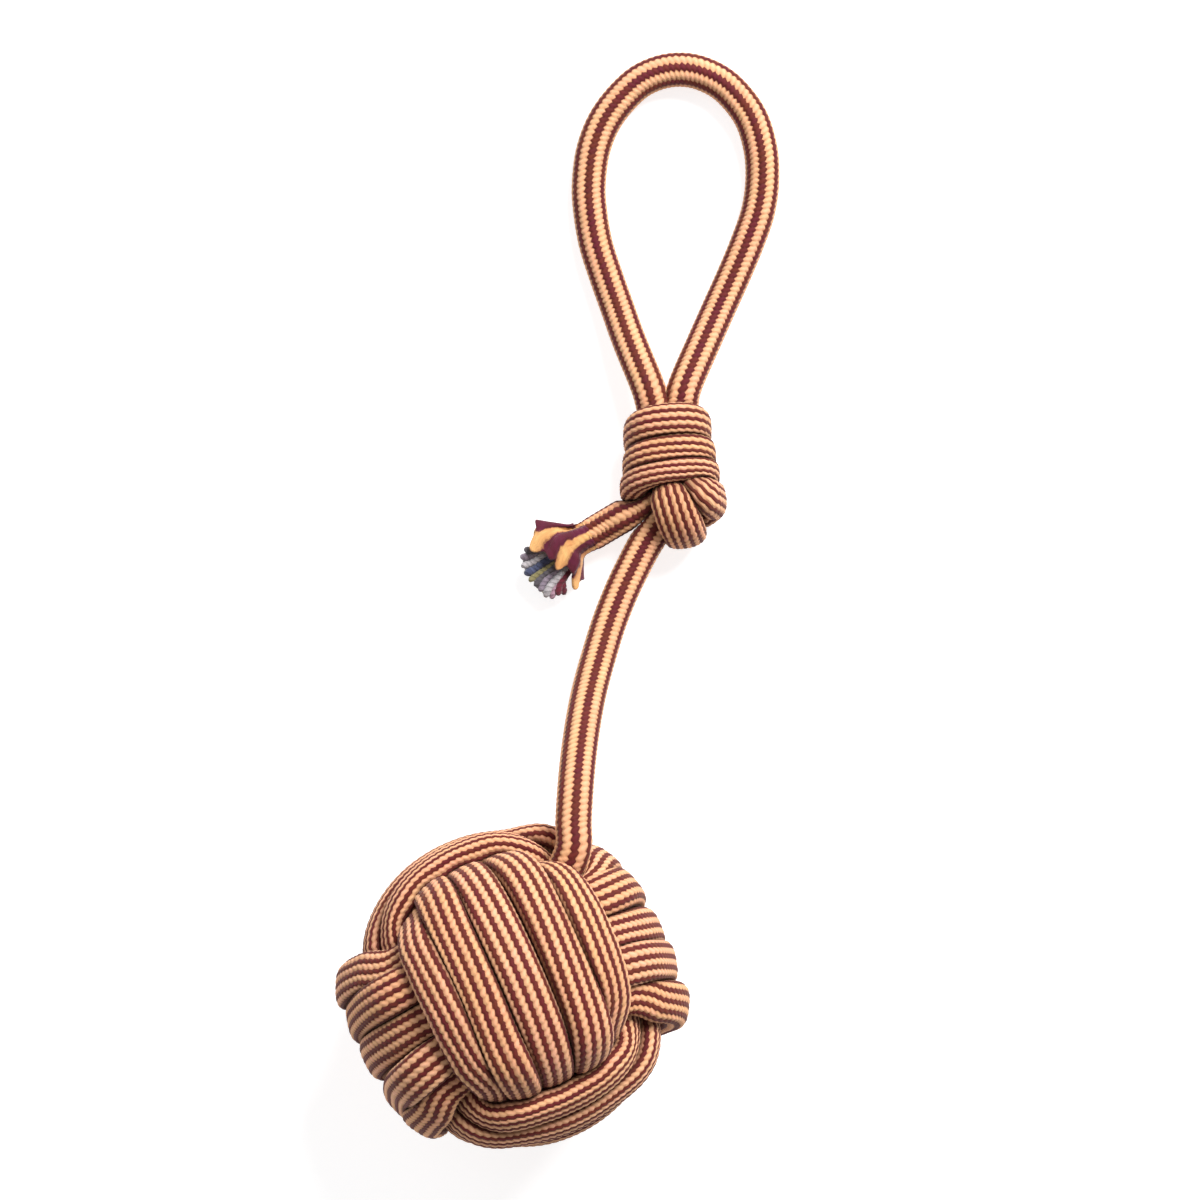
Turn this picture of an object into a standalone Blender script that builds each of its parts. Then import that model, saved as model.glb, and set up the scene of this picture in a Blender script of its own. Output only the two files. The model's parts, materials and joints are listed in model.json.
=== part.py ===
"""A monkey's fist on a short rope: a ball of three sets of five rope turns woven
round a core ball, a tether, a barrel-shaped stopper knot, a hand loop and a
frayed tail. One knitted rope, 12 mm thick, makes all of it except the core
ball, and is divided here into the turns and lengths it would be handled by.

Units are metres. The object lies on z = 0, +Y runs from the ball to the hand
loop, and the origin is under the middle of its outline.
"""

import math

import bmesh
import bpy
import numpy as np

MM = 0.001

# ---------------------------------------------------------------- dimensions
ROPE_D = 12.0  # free rope, mm
CORE_D = 63.0  # core ball, mm
GAP = 0.4  # least space between touching pieces, mm

# the woven ball
BALL_CENTRE = (-29.1, -126.8, 52.5)
BALL_TURN_Z = 25.0  # the front panel's strands lean this far to the left, degrees
BALL_TILT = (11.4, 13.1)  # lean of the front panel to its right and upwards, degrees
TURNS = 5  # turns in each of the three sets
# ball centre to rope centre where a turn lies outside, and where it lies under
# another set
OVER_R = {"front_wrap": 48.2, "top_wrap": 46.0, "side_wrap": 48.0}
UNDER_R = 37.7
# spacing of the turns where they lie outside, and where they dive
PITCH_OVER = {"front_wrap": 13.2, "top_wrap": 12.2, "side_wrap": 13.2}
PITCH_UNDER = 11.4
# half width and half thickness of the flattened rope
SIZE = {"front_wrap": (7.4, 5.2), "top_wrap": (6.3, 4.9), "side_wrap": (7.3, 5.2)}
PATH_POINTS = 60  # points on each turn while the weave settles
SETTLE_STEPS = 46
CROWN = {"front_wrap": 130.0, "top_wrap": 100.0, "side_wrap": 210.0}  # less is rounder, mm
POWER = {"front_wrap": 2.3, "top_wrap": 2.15, "side_wrap": 2.3}
HUG = 66.0  # less draws the outer turns closer to the core where they dive, mm
CROSS_GAP, CLASH_GAP, SIDE_GAP, POST_GAP, HOLD = 9.2, 7.6, 11.2, 9.6, 0.15
# how far single turns lie further out on the set's first and second panel
UNEVEN = {
    "side_wrap_5": (-4.5, 3.5),
    "side_wrap_4": (-0.5, 1.5),
    "side_wrap_2": (0.8, -1.5),
    "side_wrap_1": (0.0, -1.5),
    "top_wrap_5": (1.0, -1.5),
    "top_wrap_4": (0.5, 1.5),
    "top_wrap_3": (0.0, 1.0),
    "top_wrap_2": (0.0, -3.0),
    "top_wrap_1": (0.0, -1.5),
}
# and to one side: on the first and second panel, and where they dive on either side
SLID = {
    "side_wrap_1": (-2.5, -5.0, 0.0, 0.0),
    "side_wrap_2": (0.0, -2.2, 0.0, 0.0),
    "side_wrap_3": (0.0, -0.2, 0.0, 0.0),
    "side_wrap_4": (0.0, 2.2, 0.0, 0.0),
    "side_wrap_5": (-1.5, 5.0, -3.0, 0.0),
    "front_wrap_5": (0.5, 0.0, -0.5, -1.0),
    "front_wrap_4": (-0.7, 0.0, -0.5, -0.5),
    "front_wrap_3": (-1.7, 0.0, -2.0, -0.5),
    "front_wrap_2": (-3.5, 0.0, -4.5, -0.5),
    "front_wrap_1": (-5.5, 0.0, -6.8, -1.5),
    "top_wrap_5": (-1.2, 1.2, -1.5, 0.0),
}
# and nearer or farther over a short stretch: where round the turn, how wide, how much
NUDGE = {
    "front_wrap_1": [(45, 17, 2.2)],
    "front_wrap_2": [(45, 17, 2.8)],
    "front_wrap_3": [(45, 17, 2.5)],
    "front_wrap_4": [(45, 17, 1.5)],
    "top_wrap_2": [(-42, 15, -4.0), (-145, 13, -6.0)],
    "top_wrap_3": [(-42, 15, -4.0), (-145, 13, -2.0), (145, 16, 1.5)],
    "top_wrap_4": [(-42, 15, -4.5), (30, 15, -3.5), (-145, 13, -2.0), (145, 16, 2.0)],
}
# how far a set lies to one side on its two panels, and where it dives on either side
FAR_SHIFT = {"front_wrap": (1.0, 0.0), "top_wrap": (0.0, 0.0), "side_wrap": (-0.8, -3.5)}
NEAR_SHIFT = {"front_wrap": (-1.0, -1.4), "top_wrap": (0.0, 0.0), "side_wrap": (-1.0, -1.0)}
TURN_GAP = 1.6  # between the turns, whose facets cut across the real curves
TURN_RINGS, TURN_SIDES = 36, 8

# the joints' pivots, mm
TETHER_ROOT = (-8.7, -80.4, 68.0)
KNOT_PIVOT = (15.0, 18.4, 13.0)
LOOP_PIVOT_Y, LOOP_PIVOT_Z = 73.7, 15.0
FOLD_Y, FOLD_Z = 133.1, 6.0
TAIL_PIVOT = (7.6, 28.5, 12.2)

# routes of the free rope, through these points, mm
TETHER_ROUTE = [
    TETHER_ROOT,
    (-8.5, -71.5, 66.0),
    (-8.0, -62.2, 61.5),
    (-7.0, -51.0, 53.0),
    (-5.4, -39.6, 43.5),
    (-3.3, -29.3, 34.5),
    (-0.3, -18.5, 26.5),
    (3.2, -7.4, 20.3),
    (7.5, 3.4, 16.2),
    (11.6, 11.9, 13.8),
    KNOT_PIVOT,
]
LOOP_ROUTE = [
    (15.8, LOOP_PIVOT_Y, LOOP_PIVOT_Z),
    (9.9, 88.7, 10.6),
    (6.0, 100.0, 7.4),
    (2.1, 111.1, 6.3),
    (-1.4, 122.1, 6.08),
    (-3.3, FOLD_Y, FOLD_Z),
    (-3.8, 142.7, 6.0),
    (-2.1, 155.0, 6.0),
    (2.6, 166.0, 6.0),
    (11.0, 175.8, 6.0),
    (18.9, 180.4, 6.0),
    (27.4, 181.9, 6.0),
    (35.7, 180.3, 6.0),
    (43.9, 175.4, 6.0),
    (51.4, 166.0, 6.0),
    (55.0, 155.0, 6.0),
    (55.7, 144.0, 6.0),
    (54.2, FOLD_Y, FOLD_Z),
    (50.4, 122.1, 6.08),
    (45.8, 111.1, 6.3),
    (40.8, 100.0, 7.4),
    (35.8, 88.7, 10.6),
    (29.3, LOOP_PIVOT_Y, LOOP_PIVOT_Z),
]
TAIL_ROUTE = [TAIL_PIVOT, (2.0, 25.3, 10.2), (-4.6, 21.3, 8.6), (-9.0, 18.9, 8.3)]

# the stopper knot: three barrel turns (centre, half width, half depth, rise to
# the right, lean of the front away from the ball), then its open strands
BARREL = [
    ((22.9, 56.3, 14.9), 10.6, 10.6, 0.10, 0.38),
    ((23.5, 46.6, 14.9), 11.5, 10.8, 0.15, 0.38),
    ((23.7, 40.0, 14.9), 12.6, 10.8, 0.17, 0.36),
]
BARREL_SIZE = [(6.0, 4.5), (5.6, 4.5), (4.5, 4.5)]
STRANDS = {
    "knot_inner_strand_left": [(19.3, 67.1, 15.0), (19.4, 54.4, 15.0), (20.2, 44.0, 15.0)],
    "knot_inner_strand_right": [(26.9, 67.1, 15.0), (27.0, 54.4, 15.0), (26.6, 44.0, 15.0)],
    "knot_crossing_strand": [
        (23.2, 39.2, 21.2),
        (24.3, 34.6, 24.2),
        (25.8, 29.2, 24.0),
        (27.5, 24.7, 20.6),
        (28.6, 22.5, 14.0),
        (28.6, 23.2, 7.4),
        (27.8, 27.0, 4.9),
        (27.2, 30.0, 4.9),
    ],
    "knot_side_strand": [
        (30.8, 40.6, 20.9),
        (32.8, 39.2, 22.9),
        (35.6, 36.6, 21.8),
        (37.8, 35.0, 15.8),
        (38.0, 35.0, 9.4),
        (37.2, 36.0, 5.6),
    ],
    "tether_in_knot": [KNOT_PIVOT, (18.7, 24.5, 13.2), (21.4, 30.2, 13.6), (23.2, 36.0, 13.9)],
    "tail_in_knot": [(13.3, 31.5, 12.9), (16.0, 33.2, 13.5), (18.4, 35.0, 13.7)],
}
STRAND_SIZE = {
    "knot_inner_strand_left": (4.2, 4.2),
    "knot_inner_strand_right": (4.2, 4.2),
    "knot_crossing_strand": (7.6, 4.7),
    "knot_side_strand": (6.8, 4.7),
    "tether_in_knot": (5.6, 5.2),
    "tail_in_knot": (5.2, 5.0),
}
KNOT_MIDDLE = (24.0, 44.0, 14.5)

# the cut end: cover splayed like a bell, core yarns standing out of it
FLARE_ROUTE = [(-9.5, 18.3, 8.4), (-13.0, 16.0, 8.4), (-16.5, 12.2, 8.6)]
FLARE_R = [(6.0, 6.0), (8.2, 7.6), (12.4, 8.5)]  # half width, half height, mm
FLARE_WALL = 1.2
YARN_ROUTE = [(-12.6, 16.0, 8.4), (-16.8, 11.9, 8.5), (-19.0, 8.6, 8.3), (-20.8, 5.4, 7.8)]
YARN_R = [(4.6, 4.4), (8.2, 5.8), (9.6, 6.4), (8.6, 5.8)]

ORIGIN = (-12.12, 4.54, 0.0)  # middle of the outline in the frame above, mm

RED = (0.150, 0.028, 0.050)
CREAM = (0.780, 0.520, 0.270)
GREY = (0.330, 0.330, 0.350)
CORE_COLOUR = (0.090, 0.090, 0.095)


# ------------------------------------------------------------------- helpers
def unit(a):
    return a / np.maximum(np.linalg.norm(a, axis=-1, keepdims=True), 1e-12)


def smooth(points, step, closed=False):
    """Evenly spaced points, about `step` apart, on a Catmull-Rom curve."""
    p = np.asarray(points, float)
    if closed:
        a, b, c, d = np.roll(p, 1, 0), p, np.roll(p, -1, 0), np.roll(p, -2, 0)
    else:
        q = np.vstack([2 * p[0] - p[1], p, 2 * p[-1] - p[-2]])
        a, b, c, d = q[:-3], q[1:-2], q[2:-1], q[3:]
    fine = []
    t = (np.arange(16) / 16)[:, None]
    for a_, b_, c_, d_ in zip(a, b, c, d):
        fine.append(
            0.5
            * (
                2 * b_
                + (c_ - a_) * t
                + (2 * a_ - 5 * b_ + 4 * c_ - d_) * t**2
                + (3 * b_ - 3 * c_ + d_ - a_) * t**3
            )
        )
    fine = np.vstack(fine + [p[:1] if closed else p[-1:]])
    s = np.r_[0, np.cumsum(np.linalg.norm(np.diff(fine, axis=0), axis=1))]
    n = max(3, int(round(s[-1] / step)))
    q = np.arange(n) / n * s[-1] if closed else np.linspace(0, s[-1], n + 1)
    return np.stack([np.interp(q, s, fine[:, j]) for j in range(3)], 1)


def cut(points, start, stop):
    """The part of a path between two lengths along it."""
    s = np.r_[0, np.cumsum(np.linalg.norm(np.diff(points, axis=0), axis=1))]
    q = np.r_[start, s[(s > start + 0.5) & (s < stop - 0.5)], stop]
    return np.stack([np.interp(q, s, points[:, j]) for j in range(3)], 1)


def length(points):
    return float(np.linalg.norm(np.diff(points, axis=0), axis=1).sum())


def tangents(c, closed):
    if closed:
        return unit(np.roll(c, -1, 0) - np.roll(c, 1, 0))
    t = np.empty_like(c)
    t[1:-1] = c[2:] - c[:-2]
    t[0], t[-1] = c[1] - c[0], c[-1] - c[-2]
    return unit(t)


def section_dirs(c, closed, outward, sides):
    """Directions round each ring: width first, then the outward side."""
    t = tangents(c, closed)
    n = unit(outward - t * (outward * t).sum(1, keepdims=True))
    b = np.cross(t, n)
    a = (np.arange(sides) + 0.5) * 2 * math.pi / sides
    return b[:, None, :] * np.cos(a)[None, :, None] + n[:, None, :] * np.sin(a)[None, :, None], a


def squeezed(c, d, r, others, gap, reach=24.0):
    """Radii cut back to the plane half way to every other rope's centre line."""
    r = r.copy()
    for i in range(len(c)):
        v = others - c[i]
        dist = np.linalg.norm(v, axis=1)
        near = dist < reach
        if not near.any():
            continue
        n = v[near] / dist[near, None]
        dn = d[i] @ n.T
        lim = np.where(dn > 0.05, (dist[near] / 2 - gap / 2) / np.maximum(dn, 0.05), 1e9)
        r[i] = np.minimum(r[i], lim.min(1))
    return r


def clear_of(c, d, r, points, radius):
    """Radii cut back so that the piece stays `radius` away from the points."""
    r = r.copy()
    for i in range(len(c)):
        v = points - c[i]
        dist = np.linalg.norm(v, axis=1)
        near = dist < radius + 14.0
        if not near.any():
            continue
        n = v[near] / dist[near, None]
        dn = d[i] @ n.T
        lim = np.where(dn > 0.05, (dist[near] - radius) / np.maximum(dn, 0.05), 1e9)
        r[i] = np.minimum(r[i], np.maximum(lim.min(1), 1.0))
    return r


def oval(a, half_w, half_t, power=2.5):
    return (np.abs(np.cos(a) / half_w) ** power + np.abs(np.sin(a) / half_t) ** power) ** (-1 / power)


# ------------------------------------------------------------- scene objects
def empty_scene():
    for o in list(bpy.data.objects):
        bpy.data.objects.remove(o, do_unlink=True)
    for c in list(bpy.data.collections):
        bpy.data.collections.remove(c)


def material(name, colour, roughness):
    m = bpy.data.materials.new(name)
    m.use_nodes = True
    b = m.node_tree.nodes["Principled BSDF"]
    b.inputs["Base Color"].default_value = (*colour, 1.0)
    b.inputs["Roughness"].default_value = roughness
    b.inputs["Metallic"].default_value = 0.0
    return m


def world(points):
    return np.asarray(points, float) - np.asarray(ORIGIN)


def place(obj, pivot, collection, mat):
    obj.location = [float(v) * MM for v in world(pivot)]
    obj.data.materials.append(mat)
    collection.objects.link(obj)
    return obj


def loft(name, rings, closed, pivot, collection, mat):
    """A solid skinned over rings of points: a closed turn, or a length with flat ends."""
    n, m = rings.shape[:2]
    verts = (world(rings.reshape(-1, 3)) - world(pivot)) * MM
    bm = bmesh.new()
    vs = [bm.verts.new(v) for v in verts.tolist()]
    for i in range(n if closed else n - 1):
        k = (i + 1) % n
        for j in range(m):
            l = (j + 1) % m
            bm.faces.new((vs[i * m + j], vs[i * m + l], vs[k * m + l], vs[k * m + j]))
    if not closed:
        bm.faces.new([vs[j] for j in reversed(range(m))])
        bm.faces.new([vs[(n - 1) * m + j] for j in range(m)])
    bmesh.ops.triangulate(bm, faces=[f for f in bm.faces if len(f.verts) == 4])
    bmesh.ops.recalc_face_normals(bm, faces=bm.faces)
    if bm.calc_volume(signed=True) < 0:
        bmesh.ops.reverse_faces(bm, faces=bm.faces)
    mesh = bpy.data.meshes.new(name)
    bm.to_mesh(mesh)
    bm.free()
    mesh.shade_smooth()
    return place(bpy.data.objects.new(name, mesh), pivot, collection, mat)


def rope(name, points, pivot, collection, mat, bead_start=False, bead_end=False, r=ROPE_D / 2):
    """A round rope along a path. A bead end is a half ball about the path's end."""
    p = np.asarray(points, float)
    t = tangents(p, False)
    rows = [(q, 1.0) for q in p]
    caps = [(0.96, 0.28), (0.80, 0.60), (0.48, 0.877)]
    if bead_start:
        rows = [(p[0] - t[0] * r * a, b) for a, b in caps] + rows
    if bead_end:
        rows = rows + [(p[-1] + t[-1] * r * a, b) for a, b in reversed(caps)]
    curve = bpy.data.curves.new(name, "CURVE")
    curve.dimensions = "3D"
    curve.bevel_depth = r * MM
    curve.bevel_resolution = 2
    curve.use_fill_caps = True
    curve.twist_mode = "MINIMUM"
    spline = curve.splines.new("POLY")
    spline.points.add(len(rows) - 1)
    for point, (q, radius) in zip(spline.points, rows):
        point.co = (*((world(q) - world(pivot)) * MM).tolist(), 1.0)
        point.radius = radius
    spline.use_smooth = True
    return place(bpy.data.objects.new(name, curve), pivot, collection, mat)


# ------------------------------------------------------------------ the ball
def ball_axes():
    """Rows: the right, top and front panel's outward directions."""
    a = math.radians(BALL_TURN_Z)
    right = np.array([math.cos(a), math.sin(a), 0.0])
    top = np.array([-math.sin(a), math.cos(a), 0.0])
    front = np.array([0, 0, 1.0]) + right * math.tan(math.radians(BALL_TILT[0])) + top * math.tan(math.radians(BALL_TILT[1]))
    front = unit(front)
    right = unit(right - front * (right @ front))
    return np.stack([right, np.cross(front, right), front])


# For each set: the axis its turns are spaced along, the axis under whose panels
# they pass, and the axis of the two panels they cover.
SETS = (("front_wrap", 0, 1, 2), ("top_wrap", 2, 0, 1), ("side_wrap", 1, 2, 0))


def first_turns():
    """Fifteen flat turns, each an oval that is wide where it lies outside."""
    n = PATH_POINTS
    t = np.arange(n) * 2 * math.pi / n
    c, s = np.cos(t), np.sin(t)
    over = np.clip((np.abs(c) - 0.25) / 0.70, 0, 1)
    over = over * over * (3 - 2 * over)
    first = np.clip(0.5 + 2 * c, 0, 1)
    upper = np.clip(0.5 + 2 * s, 0, 1)
    paths = []
    for h, (name, i_space, i_under, i_over) in enumerate(SETS):
        far_a, far_b = FAR_SHIFT[name]
        near_a, near_b = NEAR_SHIFT[name]
        for k in range(TURNS):
            j = k - (TURNS - 1) / 2
            far, near = j * PITCH_OVER[name], j * PITCH_UNDER
            one, two = UNEVEN.get(f"{name}_{k + 1}", (0.0, 0.0))
            a = OVER_R[name] - far * far / CROWN[name] + one * first + two * (1 - first)
            b = UNDER_R - near * near / HUG
            slid = SLID.get(f"{name}_{k + 1}", (0.0, 0.0, 0.0, 0.0))
            power = POWER[name]
            r = (np.abs(c / a) ** power + np.abs(s / b) ** power) ** (-1 / power)
            for at, wide, more in NUDGE.get(f"{name}_{k + 1}", ()):
                off = (np.degrees(t) - at + 180) % 360 - 180
                r = r + more * np.exp(-((off / wide) ** 2))
            p = np.zeros((n, 3))
            p[:, i_over] = r * c
            p[:, i_under] = r * s
            skew = 0.020 * math.sin(2.4 * (5 * h + k) + 0.7)
            far_here = far + (far_a + slid[0]) * first + (far_b + slid[1]) * (1 - first)
            near_here = near + (near_a + slid[2]) * upper + (near_b + slid[3]) * (1 - upper)
            p[:, i_space] = near_here + (far_here - near_here) * over + skew * r * c
            paths.append(p)
    return np.stack(paths)


def settled_turns(posts, post_r):
    """Pushes crossing turns apart until no rope passes through another, the core
    or the tether, and keeps each turn smooth."""
    start = first_turns()
    p = start.copy()
    h, n = p.shape[:2]
    turn = np.repeat(np.arange(h), n)
    own = turn[:, None] == turn[None, :]
    kind = turn // TURNS
    least = np.where(kind[:, None] == kind[None, :], SIDE_GAP, CROSS_GAP)
    # front turns lie over side turns, side turns over top turns, top turns over front turns
    above = {(0, 2): 1.0, (2, 1): 1.0, (1, 0): 1.0, (2, 0): -1.0, (1, 2): -1.0, (0, 1): -1.0}
    rank = np.array([[above.get((i, j), 0.0) for j in range(3)] for i in range(3)])[kind[:, None], kind[None, :]]
    for i in range(SETTLE_STEPS):
        q = p.reshape(-1, 3)
        v = q[:, None, :] - q[None, :, :]
        real = np.sqrt((v * v).sum(2)) + 1e-9
        level = np.linalg.norm(q, axis=1)
        out = q / level[:, None]
        step = level[:, None] - level[None, :]
        lift = np.where(rank != 0, np.maximum(rank * step, 4.0) * rank - step, 0.0)
        v = v + out[:, None, :] * lift[:, :, None]
        dist = np.sqrt((v * v).sum(2)) + 1e-9
        wrong = (rank != 0) & (rank * step < 0)
        short = np.where(own, 0, np.maximum(least - np.where(wrong, 0.5 * dist, dist), 0))
        push = (v / dist[:, :, None] * short[:, :, None]).sum(1)
        push = push / np.maximum((short > 0).sum(1), 1)[:, None] * 0.6
        r = np.linalg.norm(q, axis=1)
        push += q / r[:, None] * np.maximum(CORE_D / 2 + 5.3 - r, 0)[:, None] * 0.7
        w = q[:, None, :] - posts[None, :, :]
        away = np.sqrt((w * w).sum(2)) + 1e-9
        near = np.maximum(post_r - away, 0)
        push += (w / away[:, :, None] * near[:, :, None]).max(1) * 0.5 + (w / away[:, :, None] * near[:, :, None]).min(1) * 0.5
        push = push.reshape(h, n, 3)
        for _ in range(4):
            push = (np.roll(push, 1, 1) + 2 * push + np.roll(push, -1, 1)) / 4
        hold = HOLD
        if i >= SETTLE_STEPS - 24:
            # what still runs into a crossing turn is moved more freely
            clash = np.where(rank != 0, np.maximum(CLASH_GAP - real, 0), 0)
            worst, amount, k = clash.argmax(1), clash.max(1), np.arange(len(q))
            more = (v[k, worst] / dist[k, worst][:, None] * amount[:, None] * 0.8).reshape(h, n, 3)
            busy = (amount > 0).astype(float).reshape(h, n, 1)
            for _ in range(3):
                more = (np.roll(more, 1, 1) + 2 * more + np.roll(more, -1, 1)) / 4
            for _ in range(5):
                busy = np.maximum(busy, (np.roll(busy, 1, 1) + np.roll(busy, -1, 1)) / 2)
            hold = HOLD * (1 - busy)
            push = push + more
        back = start - p
        up = unit(p)
        rise = up * (back * up).sum(2, keepdims=True)
        p = p + push + rise * 0.01 + (back - rise) * hold
        if i >= SETTLE_STEPS - 24:
            p = p + ((np.roll(p, 1, 1) + np.roll(p, -1, 1)) / 2 - p) * busy * 0.3
    return p


def build_ball(collection, mats):
    centre = np.asarray(BALL_CENTRE)
    axes = ball_axes()
    # the space that the tether sweeps as it lifts
    root = np.asarray(TETHER_ROOT)
    along = unit(np.asarray(TETHER_ROUTE[2]) - root)
    lines = [centre + unit(root - centre) * k for k in np.arange(41.0, 52.0, 2.5)]
    for deg in (0, 30, 60, 90):
        a = math.radians(deg)
        y, z = along[1], along[2]
        lean = np.array([along[0], y * math.cos(a) - z * math.sin(a), y * math.sin(a) + z * math.cos(a)])
        lines += [root + lean * k for k in (0.0, 4.0, 8.0, 12.0, 16.0)]
    posts = np.array(lines)
    local = (posts - centre) @ axes.T
    turns = settled_turns(local, POST_GAP) @ axes + centre
    fine = [smooth(t, 2.6, closed=True) for t in turns]
    for i in range(len(turns)):
        c = smooth(turns[i], length(np.vstack([turns[i], turns[i][:1]])) / TURN_RINGS, closed=True)
        d, a = section_dirs(c, True, unit(c - centre), TURN_SIDES)
        half_w, half_t = (5.5, 4.7) if i == 9 else SIZE[SETS[i // TURNS][0]]
        r = np.tile(oval(a, half_w, half_t), (len(c), 1))
        others = np.concatenate([fine[j] for j in range(len(turns)) if j != i])
        r = squeezed(c, d, r, others, TURN_GAP)
        r = clear_of(c, d, r, posts, ROPE_D / 2 + TURN_GAP)
        inward = -unit(c - centre)
        dn = (d * inward[:, None, :]).sum(2)
        dist = np.linalg.norm(c - centre, axis=1)[:, None]
        r = np.minimum(r, np.where(dn > 0.05, (dist - CORE_D / 2 - 2 * GAP) / np.maximum(dn, 0.05), 1e9))
        rings = c[:, None, :] + d * r[:, :, None]
        rings[:, :, 2] = np.maximum(rings[:, :, 2], 0.0)  # pressed flat on the surface below
        name, k = SETS[i // TURNS][0], i % TURNS + 1
        loft(f"{name}_{k}", rings, True, BALL_CENTRE, collection, mats["rope"])
    bpy.ops.mesh.primitive_uv_sphere_add(segments=20, ring_count=12, radius=CORE_D / 2 * MM)
    core = bpy.context.object
    core.name = core.data.name = "core_ball"
    for c in list(core.users_collection):
        c.objects.unlink(core)
    core.data.shade_smooth()
    place(core, BALL_CENTRE, collection, mats["core"])
    # the rope's way out of the weave
    inner = centre + unit(root - centre) * 40.5
    stub = smooth([inner, (inner + root) / 2, root], 3.0)
    stub = cut(stub, 0.0, length(stub) - ROPE_D / 2 - GAP)
    rope("tether_root", stub, BALL_CENTRE, collection, mats["rope"], r=ROPE_D / 2 - 0.6)


# ---------------------------------------------------------------- free ropes
def build_tether(collection, mats):
    path = smooth(TETHER_ROUTE, 9.0)
    full = length(path)
    half = full / 2
    short = ROPE_D / 2 + GAP
    low = cut(path, 0.0, half - short)
    high = cut(path, half, full - short)
    rope("tether_lower", low, TETHER_ROOT, collection, mats["rope"], bead_start=True)
    rope("tether_upper", high, high[0], collection, mats["rope"], bead_start=True)


def build_loop(collection, mats):
    path = smooth(LOOP_ROUTE, 7.0)
    s = np.r_[0, np.cumsum(np.linalg.norm(np.diff(path, axis=0), axis=1))]
    y = path[:, 1]
    up = next(i for i in range(1, len(y)) if y[i] >= FOLD_Y)
    down = next(i for i in range(up + 1, len(y)) if y[i] <= FOLD_Y)
    s_up = s[up - 1] + (s[up] - s[up - 1]) * (FOLD_Y - y[up - 1]) / (y[up] - y[up - 1])
    s_down = s[down - 1] + (s[down] - s[down - 1]) * (FOLD_Y - y[down - 1]) / (y[down] - y[down - 1])
    short = ROPE_D / 2 + GAP
    left = cut(path, 0.0, s_up - short)
    bow = cut(path, s_up, s_down)
    right = cut(path, s_down + short, s[-1])
    pivot = (22.5, LOOP_PIVOT_Y, LOOP_PIVOT_Z)
    rope("loop_leg_left", left, pivot, collection, mats["rope"], bead_start=True)
    rope("loop_leg_right", right, pivot, collection, mats["rope"], bead_end=True)
    fold = (25.5, FOLD_Y, FOLD_Z)
    rope("loop_bow", bow, fold, collection, mats["rope"], bead_start=True, bead_end=True)


def build_tail(collection, mats):
    path = smooth(TAIL_ROUTE, 4.5)
    rope("tail", path, TAIL_PIVOT, collection, mats["rope"], bead_start=True, r=5.3)


# ------------------------------------------------------------------ the knot
def barrel_turn(centre, half_x, half_z, rise, lean, n):
    t = np.arange(n) * 2 * math.pi / n
    x, z = half_x * np.cos(t), half_z * np.sin(t)
    # slightly boxy, as rope turns drawn tight round two others are
    k = (np.abs(np.cos(t)) ** 2.4 + np.abs(np.sin(t)) ** 2.4) ** (-1 / 2.4)
    x, z = x * k, z * k
    return np.asarray(centre) + np.stack([x, rise * x + lean * z, z], 1)


def build_knot(collection, mats):
    middle = np.asarray(KNOT_MIDDLE)
    lines = {}
    for i, turn in enumerate(BARREL):
        lines[f"barrel_turn_{i + 1}"] = (barrel_turn(*turn, 22), True)
    for name, route in STRANDS.items():
        lines[name] = (smooth(route, 4.2), False)
    fine = {k: smooth(v[0], 1.8, v[1]) for k, v in lines.items()}
    pivots = np.array([TAIL_PIVOT])
    for name, (c, closed) in lines.items():
        if closed:
            half_w, half_t = BARREL_SIZE[int(name[-1]) - 1]
            hub = np.asarray(BARREL[int(name[-1]) - 1][0])
            outward = c - hub
            outward[:, 1] *= 0.2
        else:
            half_w, half_t = STRAND_SIZE[name]
            hub = np.array([middle[0], 0.0, middle[2]])
            outward = c - hub
            outward[:, 1] = 0.0
            if name.startswith("knot_") and "inner" not in name:
                hub = np.array([27.0, 33.0, 14.0])
                outward = c - hub
        d, a = section_dirs(c, closed, unit(outward), 8)
        r = np.tile(oval(a, half_w, half_t), (len(c), 1))
        others = np.concatenate([fine[k] for k in fine if k != name])
        r = squeezed(c, d, r, others, 2 * GAP)
        if name != "tail_in_knot":
            r = clear_of(c, d, r, pivots, 5.3 + GAP)
        if name == "tether_in_knot":
            # a half ball about the pivot, so that the knot can turn on the tether
            t = tangents(c, False)
            caps = [(0.96, 0.28), (0.80, 0.60), (0.48, 0.877)]
            ring = d[0] * 5.6
            heads = [c[0] - t[0] * 5.6 * p + ring * q for p, q in caps]
            rings = c[:, None, :] + d * r[:, :, None]
            rings[0] = c[0] + ring
            rings = np.concatenate([np.stack(heads), rings])
        else:
            rings = c[:, None, :] + d * r[:, :, None]
        rings[:, :, 2] = np.maximum(rings[:, :, 2], 0.0)
        loft(name, rings, closed, KNOT_PIVOT, collection, mats["rope"])


# --------------------------------------------------------------- the cut end
def ring_sizes(route, sizes, step):
    c = smooth(route, step)
    s = np.linspace(0, 1, len(c))
    keys = np.linspace(0, 1, len(sizes))
    w = np.interp(s, keys, [v[0] for v in sizes])
    h = np.interp(s, keys, [v[1] for v in sizes])
    return c, w, h


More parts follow.
